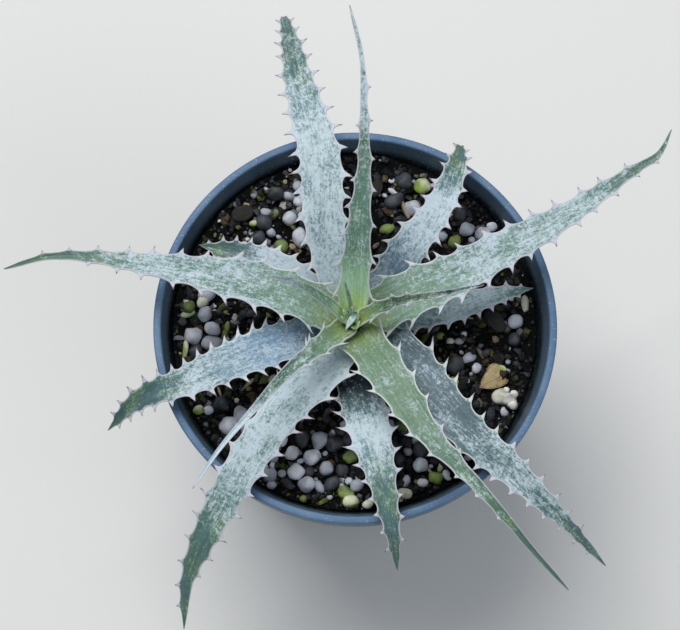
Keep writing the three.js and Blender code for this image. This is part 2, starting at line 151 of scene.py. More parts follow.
# %% Helpers for node graphs
def put(tree, kind, inputs=None, **settings):
    """A new shader node with its settings. An input is a socket to link or a value to set."""
    node = tree.nodes.new("ShaderNode" + kind)
    for name, value in settings.items():
        setattr(node, name, value)
    for name, value in (inputs or {}).items():
        if isinstance(value, bpy.types.NodeSocket):
            tree.links.new(value, node.inputs[name])
        else:
            node.inputs[name].default_value = value
    return node


def reckon(tree, operation, a, b=0.0, c=0.0):
    """One sum of numbers."""
    return put(tree, "Math", {0: a, 1: b, 2: c}, operation=operation).outputs[0]


def ramp(tree, value, low, high, out_low=0.0, out_high=1.0):
    """A soft step from out_low, at low and under, to out_high, at high and over."""
    inputs = {"Value": value, "From Min": low, "From Max": high,
              "To Min": out_low, "To Max": out_high}
    return put(tree, "MapRange", inputs, interpolation_type="SMOOTHSTEP").outputs[0]


def mix_colours(tree, share, a, b, mode="MIX"):
    """Colour a where share is 0 and b where it is 1."""
    node = put(tree, "Mix", {0: share, 6: a, 7: b}, data_type="RGBA", blend_type=mode)
    return node.outputs[2]


def stretched(tree, vector, scale):
    """The vector with each of its three numbers multiplied."""
    return put(tree, "VectorMath", {0: vector, 1: scale}, operation="MULTIPLY").outputs[0]


def cloudy(tree, vector, scale, detail=3.0, rough=0.55, distortion=0.0):
    """A cloudy pattern from 0 to 1."""
    inputs = {"Vector": vector, "Scale": scale, "Detail": detail, "Roughness": rough,
              "Distortion": distortion}
    return put(tree, "TexNoise", inputs).outputs[0]


print("helpers ready: numbers, ramps, mixed colours and clouds")

# %% [markdown]
# A finish starts as a material with its Principled BSDF. Patterns read Object coordinates, which
# stay with the piece, and they are turned to millimetres, so that a scale can be set with a ruler.
# The floor gets the first finish. It is almost plain, because it only has to catch the shadow.

# %% Helpers for finishes and the finish of the floor
def new_material(name):
    """A material with its node tree and its Principled BSDF."""
    material = bpy.data.materials.new(name)
    material.use_nodes = True
    return material, material.node_tree, material.node_tree.nodes["Principled BSDF"]


def object_place(tree):
    """Object coordinates, in millimetres."""
    return stretched(tree, put(tree, "TexCoord").outputs["Object"], (1 / MM,) * 3)


def feel(tree, shader, height, distance, strength):
    """Feeds a height, as a bump of so many metres, into the shader's normal."""
    bump = put(tree, "Bump", {"Height": height, "Distance": distance, "Strength": strength})
    tree.links.new(bump.outputs[0], shader.inputs["Normal"])


material, tree, shader = new_material("pale_floor")
shader.inputs["Base Color"].default_value = (0.78, 0.78, 0.77, 1)
shader.inputs["Roughness"].default_value = 0.85
grain = cloudy(tree, object_place(tree), 0.8)
feel(tree, shader, grain, 0.0001, 0.3)
floor_mesh.materials.append(material)
print("finishes so far:", len(bpy.data.materials))

# %% [markdown]
# Pieces are made from meshes in the same way each time: a bmesh is shaped, written to a mesh, given
# its finish and told which body it rides on, and the node of the frame that it stands for is hidden.

# %% Helpers for pieces
def finish_piece(name, bm, materials, slot, *nodes):
    """Turns a bmesh into a named piece that rides on the one body of this object."""
    mesh = bpy.data.meshes.new(name)
    bm.to_mesh(mesh)
    bm.free()
    mesh.polygons.foreach_set("use_smooth", [True] * len(mesh.polygons))
    for material in materials:
        mesh.materials.append(material)
    piece = bpy.data.objects.new(name, mesh)
    bpy.context.scene.collection.objects.link(piece)
    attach(piece, "root")
    if nodes:
        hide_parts(*nodes)
    triangles = sum(len(face.vertices) - 2 for face in mesh.polygons)
    print(name, triangles, "triangles")
    return piece


def spin_profile(bm, profile, sides):
    """Turns a list of (radius, height) in millimetres round the upright axis."""
    rows = [bm.verts.new((radius * MM, 0, height * MM)) for radius, height in profile]
    edges = [bm.edges.new(pair) for pair in zip(rows, rows[1:])]
    bmesh.ops.spin(bm, geom=rows + edges, cent=(0, 0, 0), axis=(0, 0, 1), angle=2 * math.pi,
                   steps=sides, use_merge=True)
    bmesh.ops.remove_doubles(bm, verts=bm.verts[:], dist=1e-6)
    bmesh.ops.recalc_face_normals(bm, faces=bm.faces[:])


def seeded_random(seed):
    """The same draws as in the part's source, from 0 to 1."""
    state = [seed]

    def draw():
        state[0] = state[0] * 16807 % 2147483647
        return state[0] / 2147483647
    return draw


# %% [markdown]
# ## The pot
#
# A nursery pot is moulded from coloured plastic in one shot. It is a thin tapered cup with a
# thicker band under the rim. A turned form is best made as it looks in section: one profile, spun
# round the axis. The rounded edges are short arcs of the profile, because they catch the light that
# shows a rim as plastic and not as paper.

# %% Pot profile
POT_SIDES = 192
RIM_ROUND = 0.5
BAND_SLOPE = 1.4  # height of the slope under the band
BAND_TAPER = 0.7  # how much narrower the band is at its foot
BAND_ROUND = 0.6
FOOT_ROUND = 1.0
FLOOR_ROUND = 1
INNER_START = 2  # height over the floor at which the straight inner wall starts
WALL_STEPS = 6


def outer_wall(height):
    """Outer radius of the wall under the band."""
    return POT_BASE + (POT_RIM - BAND_STEP - POT_BASE) * height / POT_HEIGHT


def inner_wall(height):
    """Inner radius of the wall under the band."""
    return outer_wall(height) - POT_WALL


def arc(centre, radius, start, stop, steps=4):
    """Points on an arc in the (radius, height) plane. Angles are in degrees."""
    turns = [math.radians(start + (stop - start) * i / steps) for i in range(steps + 1)]
    return [(centre[0] + radius * math.cos(t), centre[1] + radius * math.sin(t)) for t in turns]


band_foot = POT_HEIGHT - BAND_HEIGHT
slope_foot = band_foot - BAND_SLOPE
rim_inside = POT_RIM - RIM_LAND
inner_height = band_foot - POT_FLOOR - INNER_START
levels = [FOOT_ROUND + (slope_foot - FOOT_ROUND) * i / WALL_STEPS for i in range(WALL_STEPS + 1)]
inner_levels = [band_foot - inner_height * i / WALL_STEPS for i in range(WALL_STEPS + 1)]
pot_profile = [
    (0, 0),
    *arc((POT_BASE - FOOT_ROUND, FOOT_ROUND), FOOT_ROUND, -90, 0),
    *[(outer_wall(level), level) for level in levels[1:]],
    *arc((POT_RIM - BAND_TAPER - BAND_ROUND, band_foot + BAND_ROUND), BAND_ROUND, -90, 0, 3),
    *arc((POT_RIM - RIM_ROUND, POT_HEIGHT - RIM_ROUND), RIM_ROUND, 0, 90),
    *arc((rim_inside + RIM_ROUND, POT_HEIGHT - RIM_ROUND), RIM_ROUND, 90, 180),
    *[(inner_wall(level), level) for level in inner_levels],
    *arc((inner_wall(POT_FLOOR) - FLOOR_ROUND, POT_FLOOR + FLOOR_ROUND), FLOOR_ROUND, 0, -90),
    (0, POT_FLOOR),
]
print("the pot's profile has", len(pot_profile), "points")

# %% [markdown]
# The drain holes are cut by a Boolean, as a moulder's pins would leave them. The result is read back
# from the evaluated object, so that no modifier stays on the piece.

# %% Pot
DRAIN_HOLES = 8
DRAIN_RADIUS = 3.5
DRAIN_CIRCLE = 27
DRAIN_SIDES = 32


def cut_drain_holes(piece):
    """Cuts a ring of round holes through the floor of the pot."""
    cutters = bmesh.new()
    for i in range(DRAIN_HOLES):
        turn = (i + 0.5) * 2 * math.pi / DRAIN_HOLES
        middle = Vector((DRAIN_CIRCLE * math.cos(turn), DRAIN_CIRCLE * math.sin(turn), 0)) * MM
        bmesh.ops.create_cone(cutters, cap_ends=True, segments=DRAIN_SIDES,
                              radius1=DRAIN_RADIUS * MM, radius2=DRAIN_RADIUS * MM,
                              depth=4 * POT_FLOOR * MM, matrix=Matrix.Translation(middle))
    cutter_mesh = bpy.data.meshes.new("drain_cutters")
    cutters.to_mesh(cutter_mesh)
    cutters.free()
    cutter = bpy.data.objects.new("drain_cutters", cutter_mesh)
    bpy.context.scene.collection.objects.link(cutter)
    modifier = piece.modifiers.new("drain", "BOOLEAN")
    modifier.operation = "DIFFERENCE"
    modifier.solver = "EXACT"
    modifier.object = cutter
    evaluated = piece.evaluated_get(bpy.context.evaluated_depsgraph_get())
    cut = bpy.data.meshes.new_from_object(evaluated)
    piece.modifiers.clear()
    piece.data = cut
    bpy.data.objects.remove(cutter)


pot_plastic, tree, shader = new_material("pot_plastic")
bm = bmesh.new()
spin_profile(bm, pot_profile, POT_SIDES)
pot = finish_piece("pot_shell", bm, [pot_plastic], "pot_plastic", "pot")
cut_drain_holes(pot)
print("pot faces after the holes:", len(pot.data.polygons))

# %% [markdown]
# The plastic is blue-grey. On the rim it is scuffed pale, with fine scratches that run round it and
# specks of dust and lime. The inner wall is painted very dark, as the shade inside the pot, with
# stains from watering in it. One mask finds the rim by its height, and the rest is noise: stretched
# round the pot for the scratches, because a coordinate made from the turn and the radius follows the
# moulding and not the world's axes.

# %% Pot plastic
ROUND_SCALE = 20.0  # millimetres that a turn of one radian counts for in the ring coordinate
RIM_MASK = (POT_HEIGHT - 1.2, POT_HEIGHT - 0.2)
WALL_MASK = (POT_BASE - POT_WALL * 0.7, POT_BASE - POT_WALL * 0.3)
WALL_LEAN = (POT_RIM - BAND_STEP - POT_BASE) / POT_HEIGHT

place = object_place(tree)
x_mm, y_mm, z_mm = put(tree, "SeparateXYZ", {0: place}).outputs
turn = reckon(tree, "ARCTAN2", y_mm, x_mm)
y_squared = reckon(tree, "MULTIPLY", y_mm, y_mm)
radius = reckon(tree, "SQRT", reckon(tree, "MULTIPLY_ADD", x_mm, x_mm, y_squared))
round_mm = reckon(tree, "MULTIPLY", turn, ROUND_SCALE)
ring = put(tree, "CombineXYZ", {0: round_mm, 1: radius, 2: z_mm}).outputs[0]

on_rim = ramp(tree, z_mm, *RIM_MASK)
under_rim = reckon(tree, "SUBTRACT", 1.0, on_rim)
radius_at_foot = reckon(tree, "MULTIPLY_ADD", z_mm, -WALL_LEAN, radius)
# the inner wall, which takes the painted shade of the pot's inside
shaded_inside = ramp(tree, radius_at_foot, *WALL_MASK, 1.0, 0.0)
inner = reckon(tree, "MULTIPLY", shaded_inside, under_rim)

mottle = cloudy(tree, place, 0.07, 5.0, 0.6)
fine = cloudy(tree, place, 1.4, 3.0, 0.6)
scratches = cloudy(tree, stretched(tree, ring, (0.5, 7.0, 5.0)), 1.0, 4.0, 0.7)
streaks = cloudy(tree, stretched(tree, ring, (1.1, 0.5, 0.04)), 1.0, 4.0, 0.6)
specks = cloudy(tree, place, 2.3, 2.0, 0.5)

clouds = ramp(tree, mottle, 0.3, 0.7)
stains = ramp(tree, streaks, 0.35, 0.75)
body_colour = mix_colours(tree, clouds, (0.068, 0.105, 0.15, 1), (0.092, 0.138, 0.192, 1))
# painted shade: the inner wall is very dark, as the shade inside the pot, with watering stains in it
inner_shade_colour = mix_colours(tree, stains, (0.0015, 0.005, 0.007, 1), (0.009, 0.022, 0.03, 1))
rim_colour = mix_colours(tree, clouds, (0.062, 0.135, 0.255, 1), (0.115, 0.205, 0.335, 1))
plastic = mix_colours(tree, inner, body_colour, inner_shade_colour)
plastic = mix_colours(tree, on_rim, plastic, rim_colour)
wear = reckon(tree, "MULTIPLY_ADD", on_rim, 0.5, 0.12)
worn = reckon(tree, "MULTIPLY", ramp(tree, scratches, 0.6, 0.8), wear)
plastic = mix_colours(tree, worn, plastic, (0.42, 0.5, 0.58, 1))
dusty = ramp(tree, specks, 0.64, 0.72, 0.0, 0.6)
plastic = mix_colours(tree, dusty, plastic, (0.5, 0.52, 0.5, 1))
tree.links.new(plastic, shader.inputs["Base Color"])
tree.links.new(ramp(tree, scratches, 0.3, 0.8, 0.34, 0.62), shader.inputs["Roughness"])
shader.inputs["Specular IOR Level"].default_value = 0.3
feel(tree, shader, reckon(tree, "MULTIPLY_ADD", fine, 0.5, scratches), 0.00006, 0.6)
print("nodes in the pot's plastic:", len(tree.nodes))

# %% [markdown]
# ## The potting mix
#
# The mix is peat and bark, dark with water, and what sits on it makes it read at its true scale:
# round fertiliser prills, chips of bark, crumbs and a little grit. Its surface isn't level: it
# rises to the wall and swells a little. The same sums as in the part's source give that height, and
# a rougher crumb comes on top, with clods of two sizes and small steps between them.

# %% Height of the mix
MIX_LEVEL = 76
TOWARD_BACK = 2  # how much higher the mix is at the back
TOWARD_RIGHT = -0.8
TO_WALL = 4.7  # how much it rises to the wall
UNEVEN = 0.9
MIX_SEED = 41
CLOD_HEIGHT = 0.75
STEP_HEIGHT = 0.45


def mix_height(x, y):
    """Height of the mix over a place, in millimetres: a tilted dish, a low swell and a ripple."""
    tilt = TOWARD_BACK * y / POT_RIM + TOWARD_RIGHT * x / POT_RIM
    dish = TO_WALL * (math.hypot(x, y) / inner_wall(MIX_LEVEL)) ** 4
    swell = math.sin(0.17 * x + 1.3) * math.cos(0.15 * y - 0.4)
    ripple = 0.55 * math.sin(0.61 * x - 0.27 * y) * math.sin(0.33 * x + 0.58 * y + 0.8)
    return MIX_LEVEL + tilt + dish + UNEVEN * (swell + ripple)


def crumb_height(x, y):
    """Rough crumb on top of the swell, in millimetres."""
    point = Vector((x, y, 0))
    clods = noise.noise(point * 0.35) + 0.6 * noise.noise(point * 0.9)
    return CLOD_HEIGHT * clods + STEP_HEIGHT * noise.cell(point * 0.8)


print("mix height at the centre:", round(mix_height(0, 0), 2), "mm")

# %% [markdown]
# The body of the mix is one closed form, spun like the pot: a floor, a wall, and a disc of fine
# rings whose points are then lifted to the height above. Toward the wall the crumb fades out, so
# that nothing pushes through the plastic.

# %% Body of the mix
MIX_RINGS = 110
MIX_SIDES = 300
CRUMB_FADE = 30  # the crumb fades over a thirtieth of the radius


def make_mix_body():
    """A disc of fine cells with the surface's height, closed by a plain wall and underside."""
    bm = bmesh.new()
    wall = inner_wall(MIX_LEVEL) - GAP
    foot = POT_FLOOR + GAP
    profile = [(0, foot), (inner_wall(foot) - GAP, foot)]
    profile += [(wall * (MIX_RINGS - i) / MIX_RINGS, MIX_LEVEL) for i in range(MIX_RINGS + 1)]
    spin_profile(bm, profile, MIX_SIDES)
    for vert in bm.verts:
        x, y, z = vert.co / MM
        if z > foot + 1:  # all but the floor of the body
            edge = math.hypot(x, y) / wall
            height = mix_height(x, y) + min(1, (1 - edge) * CRUMB_FADE) * crumb_height(x, y)
            # the pot widens upward, so the rim of the disc moves out as it rises
            wider = 1 + ((inner_wall(height) - GAP) / wall - 1) * edge ** 8
            vert.co = Vector((x * wider, y * wider, height)) * MM
    return bm


soil_finish, tree, shader = new_material("dark_potting_mix")
finish_piece("mix_body", make_mix_body(), [soil_finish], "potting_mix", "potting_mix")

# %% [markdown]
# Damp peat is dark, and here it is painted almost black, as painted shade where the mix lies in the
# shade of the leaves and the pot. It is a little blue where it is wet, and warmer where its fibres dry
# out.
# Four noises give clods, fibres, a haze of moss and pale grit, each laid over the one before.

# %% Colour of the mix
place = object_place(tree)
clods = cloudy(tree, place, 0.45, 6.0, 0.65)
fibres = cloudy(tree, stretched(tree, place, (1.0, 2.6, 1.6)), 0.9, 5.0, 0.7, 1.2)
grit = cloudy(tree, place, 3.0, 2.0, 0.5)
moss = cloudy(tree, place, 0.3, 4.0, 0.7)
dry = ramp(tree, clods, 0.4, 0.7)
# painted shade: the mix is coloured near black, darker than peat is, for the shade it lies in
earth_and_shade = mix_colours(tree, dry, (0.0006, 0.0009, 0.0012, 1), (0.005, 0.0065, 0.008, 1))
for share, colour in (
        (ramp(tree, fibres, 0.6, 0.75), (0.022, 0.02, 0.017, 1)),
        (ramp(tree, moss, 0.58, 0.75, 0.0, 0.6), (0.012, 0.019, 0.006, 1)),
        (ramp(tree, grit, 0.7, 0.76), (0.13, 0.13, 0.13, 1))):
    earth_and_shade = mix_colours(tree, share, earth_and_shade, colour)
tree.links.new(earth_and_shade, shader.inputs["Base Color"])
tree.links.new(ramp(tree, clods, 0.3, 0.7, 0.35, 0.85), shader.inputs["Roughness"])
shader.inputs["Specular IOR Level"].default_value = 0.16
feel(tree, shader, reckon(tree, "MULTIPLY_ADD", fibres, 0.6, clods), 0.0008, 1.0)
print("nodes in the finish of the mix:", len(tree.nodes))

# %% [markdown]
# The prills are the round grey beads that feed the plant for months. Their places are drawn patch by
# patch, by the rule and from the seed of the part's source, so each bead stands over its faceted
# one. A place counts if it is clear of the wall, of the stem and of the beads drawn before it.

# %% Prill places
PRILL_PATCHES = [
    (-12, -35.5, 11, 10, 24), (19, -33, 8, 10, 10), (-40, 2, 4, 9, 7), (-31, -25, 4, 7, 5),
    (-20, 30, 6, 9, 7), (33, 29, 7, 4, 7), (14, 37, 5, 6, 4), (43, 3, 3, 6, 2), (25, -8, 4, 8, 3),
    (39, -17, 3, 3, 2),
]
PRILL_SMALL = 1.7
PRILL_LARGE = 2.3
PRILL_SPACING = 3.9
PRILL_FROM_STEM = 11
PRILL_FROM_WALL = 1
PRILL_TRIES = 20


def prill_places():
    """Places and radii of the prills, in millimetres."""
    draw = seeded_random(MIX_SEED)
    places = []
    for middle_x, middle_y, half_x, half_y, count in PRILL_PATCHES:
        left = count
        tries = 0
        while left > 0 and tries < count * PRILL_TRIES:
            tries += 1
            x = middle_x + (2 * draw() - 1) * half_x
            y = middle_y + (2 * draw() - 1) * half_y
            radius = PRILL_SMALL + (PRILL_LARGE - PRILL_SMALL) * draw()
            in_wall = math.hypot(x, y) < inner_wall(MIX_LEVEL) - GAP - radius - PRILL_FROM_WALL
            off_stem = math.hypot(x - STEM_X, y) > PRILL_FROM_STEM
            clear = all(math.hypot(x - other[0], y - other[1]) > PRILL_SPACING for other in places)
            if in_wall and off_stem and clear:
                places.append((x, y, radius))
                left -= 1
    return places


print("prills:", len(prill_places()))

# %% [markdown]
# Most prills are grey, and some are pale, dark, or half green with algae. Each kind has two colours
# and its share of all beads. The first colour lies on the side that mostly faces up. For all kinds
# but the green, it is the second colour made lighter: painted light on top and painted shade below.
# Several beads seen as dark lie in the shade of the leaves, so there the dark kind is painted shade.
# Where the photograph shows at a drawn place what kind lies there, the bead is of that kind, and
# elsewhere chance decides.

# %% Prill colours
# for most kinds the second colour is the first in painted shade, and it lies on the lower side
BEAD_COLOURS = {  # one side and the other
    "grey": ((0.46, 0.50, 0.58), (0.33, 0.36, 0.43)),
    "pale": ((0.68, 0.71, 0.78), (0.50, 0.53, 0.60)),
    # near black, partly as painted shade for beads that lie under the leaves
    "dark": ((0.045, 0.052, 0.066), (0.014, 0.017, 0.022)),
    "cream": ((0.78, 0.77, 0.68), (0.58, 0.60, 0.44)),
    "green": ((0.62, 0.66, 0.46), (0.26, 0.36, 0.07)),
    "olive": ((0.20, 0.27, 0.07), (0.07, 0.11, 0.03)),
}
BEAD_SHARES = [  # each kind and the share of beads up to it
    ("grey", 0.6), ("pale", 0.78), ("dark", 0.84), ("cream", 0.92), ("green", 0.97), ("olive", 1.0),
]
SEEN_WITHIN = 1.5
# painted shade: several beads listed as dark lie in the shade of the leaves
SEEN_BEADS = [
    (-9.2, -27.7, "grey"), (-16, -31, "pale"), (-15.1, -36.2, "pale"), (-2.2, -41.9, "olive"),
    (-5.3, -28.6, "dark"), (-1.4, -27.6, "dark"), (-3.3, -35.5, "dark"), (-5.9, -39.3, "dark"),
    (-13.4, -27.5, "dark"), (-10.9, -32.1, "pale"), (-7.2, -35.2, "grey"), (17.5, 38.4, "green"),
    (15, 33.1, "pale"), (12.7, 39.7, "dark"), (10.3, 34.8, "dark"), (-14.1, 25, "pale"),
    (-24.9, 24.8, "dark"), (-23.7, 28.8, "dark"), (-17, 30.1, "pale"), (-14.2, 34.8, "pale"),
    (-20.6, 36.2, "dark"), (33, 25.7, "pale"), (28.9, 27.3, "grey"), (27.4, 31.2, "dark"),
    (24.8, -12.8, "green"), (25.7, -8.3, "dark"), (21.7, -8.9, "olive"), (40.9, -2, "dark"),
    (41, 2.5, "grey"), (37.2, -16.6, "cream"), (20.4, -37.7, "olive"), (16.7, -30.3, "dark"),
    (16.4, -34.2, "pale"), (11.1, -32.7, "dark"), (12.2, -23.6, "olive"), (23.5, -33.6, "dark"),
    (-38.4, 4.5, "grey"), (-36.4, 0.7, "pale"), (-36.4, -3.3, "grey"), (-41.3, -1.3, "pale"),
    (-42.5, 6.1, "olive"), (-38, 9.6, "grey"), (-29.1, -21.1, "pale"), (-32.3, -24.1, "pale"),
    (-34.1, -18.7, "dark"), (-28.1, -30, "grey"), (-40.6, -5.3, "dark"), (-18.9, 22.6, "olive"),
]


def bead_kind(x, y, chance):
    """The kind seen in the photograph at this place, or one by chance."""
    seen_x, seen_y, kind = min(SEEN_BEADS, key=lambda seen: math.hypot(x - seen[0], y - seen[1]))
    if math.hypot(x - seen_x, y - seen_y) < SEEN_WITHIN:
        return kind
    return next(kind for kind, upto in BEAD_SHARES if chance <= upto)


print("beads of a kind that was seen:", len(SEEN_BEADS))

# %% [markdown]
# Beads, hulls, grit and crumbs are all lumps: a ball that is pressed to a size, turned, and made
# uneven by noise, because a prill's coating swells and bursts and nothing in a mix is quite round.
# One template ball of each fineness is made by the icosphere operator. Its corners are then moved
# for each lump, and a whole heap goes into one mesh with a colour on each corner, which is quick.

# %% Lumps
LUMP_TILT = 0.8


def ball(fineness):
    """Points and faces of a ball of radius 1."""
    bm = bmesh.new()
    bmesh.ops.create_icosphere(bm, subdivisions=fineness, radius=1)
    points = [vert.co.copy() for vert in bm.verts]
    faces = [[vert.index for vert in face.verts] for face in bm.faces]
    bm.free()
    return points, faces


BALLS = {fineness: ball(fineness) for fineness in (1, 2, 3)}


def poured(heap):
    """One bmesh of all the lumps of a heap, with their tint. Their places are in millimetres."""
    points = []
    faces = []
    tints = []
    for fineness, own_points, own_tints in heap:
        faces += [[number + len(points) for number in face] for face in BALLS[fineness][1]]
        points += [point * MM for point in own_points]
        tints += [value for tint in own_tints for value in (*tint, 1)]
    mesh = bpy.data.meshes.new("heap")
    mesh.from_pydata(points, [], faces)
    mesh.attributes.new("tint", "FLOAT_COLOR", "POINT").data.foreach_set("color", tints)
    bm = bmesh.new()
    bm.from_mesh(mesh)
    bpy.data.meshes.remove(mesh)
    return bm


def lump(heap, draw, place, size, turn, colours, fineness, rough=0.14):
    """An uneven bead, two colours running together, the first painted light on top; sizes in
    millimetres.
    """
    middle = Vector(place)
    turned = Matrix.Rotation(turn, 3, "Z") @ Matrix.Rotation(LUMP_TILT * (draw() - 0.5), 3, "Y")
    # painted light: the first, lighter colour goes on one side, drawn to lean upward, and the second on
    # the other as painted shade
    lighter_side = Vector((draw() - 0.5, draw() - 0.5, draw() - 0.3)).normalized()
    shade = 0.8 + 0.35 * draw()
    points = []
    tints = []
    for point in BALLS[fineness][0]:
        arm = turned @ Vector([a * b for a, b in zip(point, size)])
        bump = noise.noise((middle + arm) * 0.5) + 0.2 * noise.noise((middle + arm) * 1.2)
        share = min(1, max(0, 0.5 + 0.9 * arm.normalized().dot(lighter_side) + bump))
        points.append(middle + arm * (1 + rough * 2 * bump))
        tints.append([shade * (a * share + b * (1 - share)) for a, b in zip(*colours)])
    heap.append((fineness, points, tints))


print("corners of the three balls:", [len(points) for points, _ in BALLS.values()])

# %% [markdown]
# Each prill is now a lump of the finest ball. Two in five are long, where the coating has given way,
# and all of them are sunk in the mix by almost half, as watering leaves them.

# %% Prills
PRILL_LIFT = 0.35  # of the radius
BEAD_RAISED = 0.2  # of the radius, more than the frame's, so that a bead covers its faceted one
LONG_SHARE = 0.4
LONG_BY = 0.35
BEAD_FLAT = 0.92


def make_prills():
    """One rounded, uneven bead at each place."""
    heap = []
    draw = seeded_random(MIX_SEED + 5)
    for x, y, radius in prill_places():
        long = 1 + (LONG_BY * draw() if draw() < LONG_SHARE else 0.1 * draw())
        size = (radius * long, radius / math.sqrt(long), radius * BEAD_FLAT)
        place = (x, y, mix_height(x, y) + radius * (PRILL_LIFT + BEAD_RAISED))
        colours = BEAD_COLOURS[bead_kind(x, y, draw())]
        lump(heap, draw, place, size, math.pi * draw(), colours, 3)
    return poured(heap)


prill_finish, tree, shader = new_material("prill_coating")
finish_piece("prills", make_prills(), [prill_finish], "potting_mix")

# %% [markdown]
# The coating takes each bead's own colour from its corners, with blotches of algae and small dark
# pores over it. The hulls and the grit share this finish.

# %% Prill coating
place = object_place(tree)
own = put(tree, "Attribute", attribute_name="tint").outputs["Color"]
blotch = cloudy(tree, place, 0.5, 4.0, 0.6)
pores = cloudy(tree, place, 3.2, 3.0, 0.6)
coat = mix_colours(tree, ramp(tree, blotch, 0.5, 0.8, 0.0, 0.4), own, (0.14, 0.17, 0.10, 1))
coat = mix_colours(tree, ramp(tree, pores, 0.58, 0.75, 0.0, 0.6), coat, (0.07, 0.065, 0.06, 1))
tree.links.new(coat, shader.inputs["Base Color"])
shader.inputs["Roughness"].default_value = 0.55
feel(tree, shader, reckon(tree, "ADD", pores, blotch), 0.0002, 0.6)
print("nodes in the coating:", len(tree.nodes))

# %% [markdown]
# Between the prills lie smaller things: small beads half buried, pale seed hulls, knobs of perlite,
# which is puffed white rock, and twigs. The small beads settle next to what is there already, by a
# rule, and the few things that the eye finds at once in the photograph have places of their own.

# %% Hulls, perlite and twigs
SMALL_TRIES = 190
SMALL_RADIUS = (0.5, 1.5)
SMALL_STRAY = 0.6  # how far at most a small bead lies from its neighbour
SMALL_CLOSE = 0.85  # how near two beads may come, as a share of their radii
BIT_RAISED = 0.9
PERLITE_RAISED = 1.3
TWIG_RAISED = 0.6
# each a lighter and a darker colour, laid by lump as painted light on top and painted shade below
PERLITE_COLOURS = ((0.78, 0.77, 0.74), (0.62, 0.62, 0.60))
TWIG_COLOURS = ((0.30, 0.25, 0.17), (0.12, 0.10, 0.09))
# x, y, half length, half width, turn in degrees, colour
BITS = [
    (-42.8, 4.4, 2.1, 0.9, 15, "green"), (-42, -1.3, 2, 0.95, 115, "cream"),
    (-43.2, -4.8, 2.1, 0.8, 85, "green"), (-39, 7.5, 1.9, 1.3, 60, "cream"),
    (-32.8, 1.1, 1.8, 0.8, 80, "olive"), (-39.6, -20.6, 1.7, 1.1, 20, "green"),
    (-26.1, 28.6, 1.5, 0.8, 10, "green"), (-20.4, 31.4, 1.1, 0.7, 80, "olive"),
    (8.3, 27.8, 2, 1.3, 20, "olive"), (25.7, 24, 1.8, 1.5, 50, "olive"),
    (37.2, -9.3, 1.6, 1, -15, "green"), (43.5, 7.4, 2.3, 1, 95, "cream"),
    (21.9, -0.2, 1.3, 1, 10, "olive"), (24.4, -1.6, 1.1, 1, 0, "cream"),
    (33.6, -5, 1.3, 1, 30, "dark"), (12.4, -41.7, 2.1, 1.5, 10, "cream"),
    (21.6, -34.8, 1.7, 0.8, 70, "green"), (-1.1, -44.2, 2.1, 1.6, 0, "green"),
    (3.2, -44.7, 1.4, 1.2, 30, "cream"), (0.3, -40, 1.7, 1.6, 0, "grey"),
    (10.5, 36.9, 2.1, 0.8, -25, "pale"), (-13, -43.1, 1.1, 1, 0, "olive"),
    (-21, -39.7, 1.3, 1.1, 0, "grey"), (35.3, 27.6, 1.5, 1.2, 0, "pale"),
]
PERLITE = [
    (38.8, -17.3, 1.9), (40.4, -16.3, 1.2), (37.6, -15.9, 1.3), (39.6, -18.9, 1.2), (38.6, -14.9, 0.9),
]
TWIGS = [
    (13, 32.7, 5.7, 0.6, -65), (18.5, -35, 5.8, 0.4, -55), (35, 8, 6, 0.4, 30),
    (-25, 20, 5, 0.35, 130), (30, 4, 5, 0.4, -20), (-27, -13, 6, 0.4, 40), (8, -21, 4, 0.3, 10),
    (-35, -14, 5, 0.35, -70),
]


def add_small_beads(heap, draw):
    """Small beads beside what lies there already, wherever there is room."""
    taken = prill_places() + [(x, y, half) for x, y, half, *_ in BITS]
    for _ in range(SMALL_TRIES):
        x, y, beside = taken[int(draw() * 0.999 * len(taken))]
        radius = SMALL_RADIUS[0] + (SMALL_RADIUS[1] - SMALL_RADIUS[0]) * draw() ** 1.5
        turn = 2 * math.pi * draw()
        x += (beside + radius + SMALL_STRAY * draw()) * math.cos(turn)
        y += (beside + radius + SMALL_STRAY * draw()) * math.sin(turn)
        apart = all(math.hypot(x - other[0], y - other[1]) > SMALL_CLOSE * (radius + other[2])
                    for other in taken)
        reach = inner_wall(MIX_LEVEL) - radius - PRILL_FROM_WALL
        if apart and PRILL_FROM_STEM < math.hypot(x, y) < reach:
            taken.append((x, y, radius))
            # a fresh draw for each kind makes the later kinds rare
            kind = next(kind for kind, upto in BEAD_SHARES if draw() <= upto)
            size = (radius * (1 + 0.5 * draw()), radius, 0.8 * radius)
            place = (x, y, mix_height(x, y) + 0.6 * radius)
            lump(heap, draw, place, size, turn, BEAD_COLOURS[kind], 2, 0.2)


def make_bits():
    """The small beads, the hulls, the perlite and the twigs."""
    heap = []
    draw = seeded_random(MIX_SEED + 7)
    add_small_beads(heap, draw)
    for x, y, long, wide, turn, kind in BITS:
        place = (x, y, mix_height(x, y) + BIT_RAISED * wide)
        size = (long, wide, 0.8 * wide)
        lump(heap, draw, place, size, math.radians(turn), BEAD_COLOURS[kind], 3)
    for x, y, radius in PERLITE:
        place = (x, y, mix_height(x, y) + PERLITE_RAISED)
        lump(heap, draw, place, (radius,) * 3, 0, PERLITE_COLOURS, 3, 0.3)
    for x, y, long, thick, turn in TWIGS:
        place = (x, y, mix_height(x, y) + thick + TWIG_RAISED)
        size = (long / 2, thick, thick)
        lump(heap, draw, place, size, math.radians(turn), TWIG_COLOURS, 3, 0.3)
    return poured(heap)


finish_piece("hulls_and_grit", make_bits(), [prill_finish], "potting_mix")
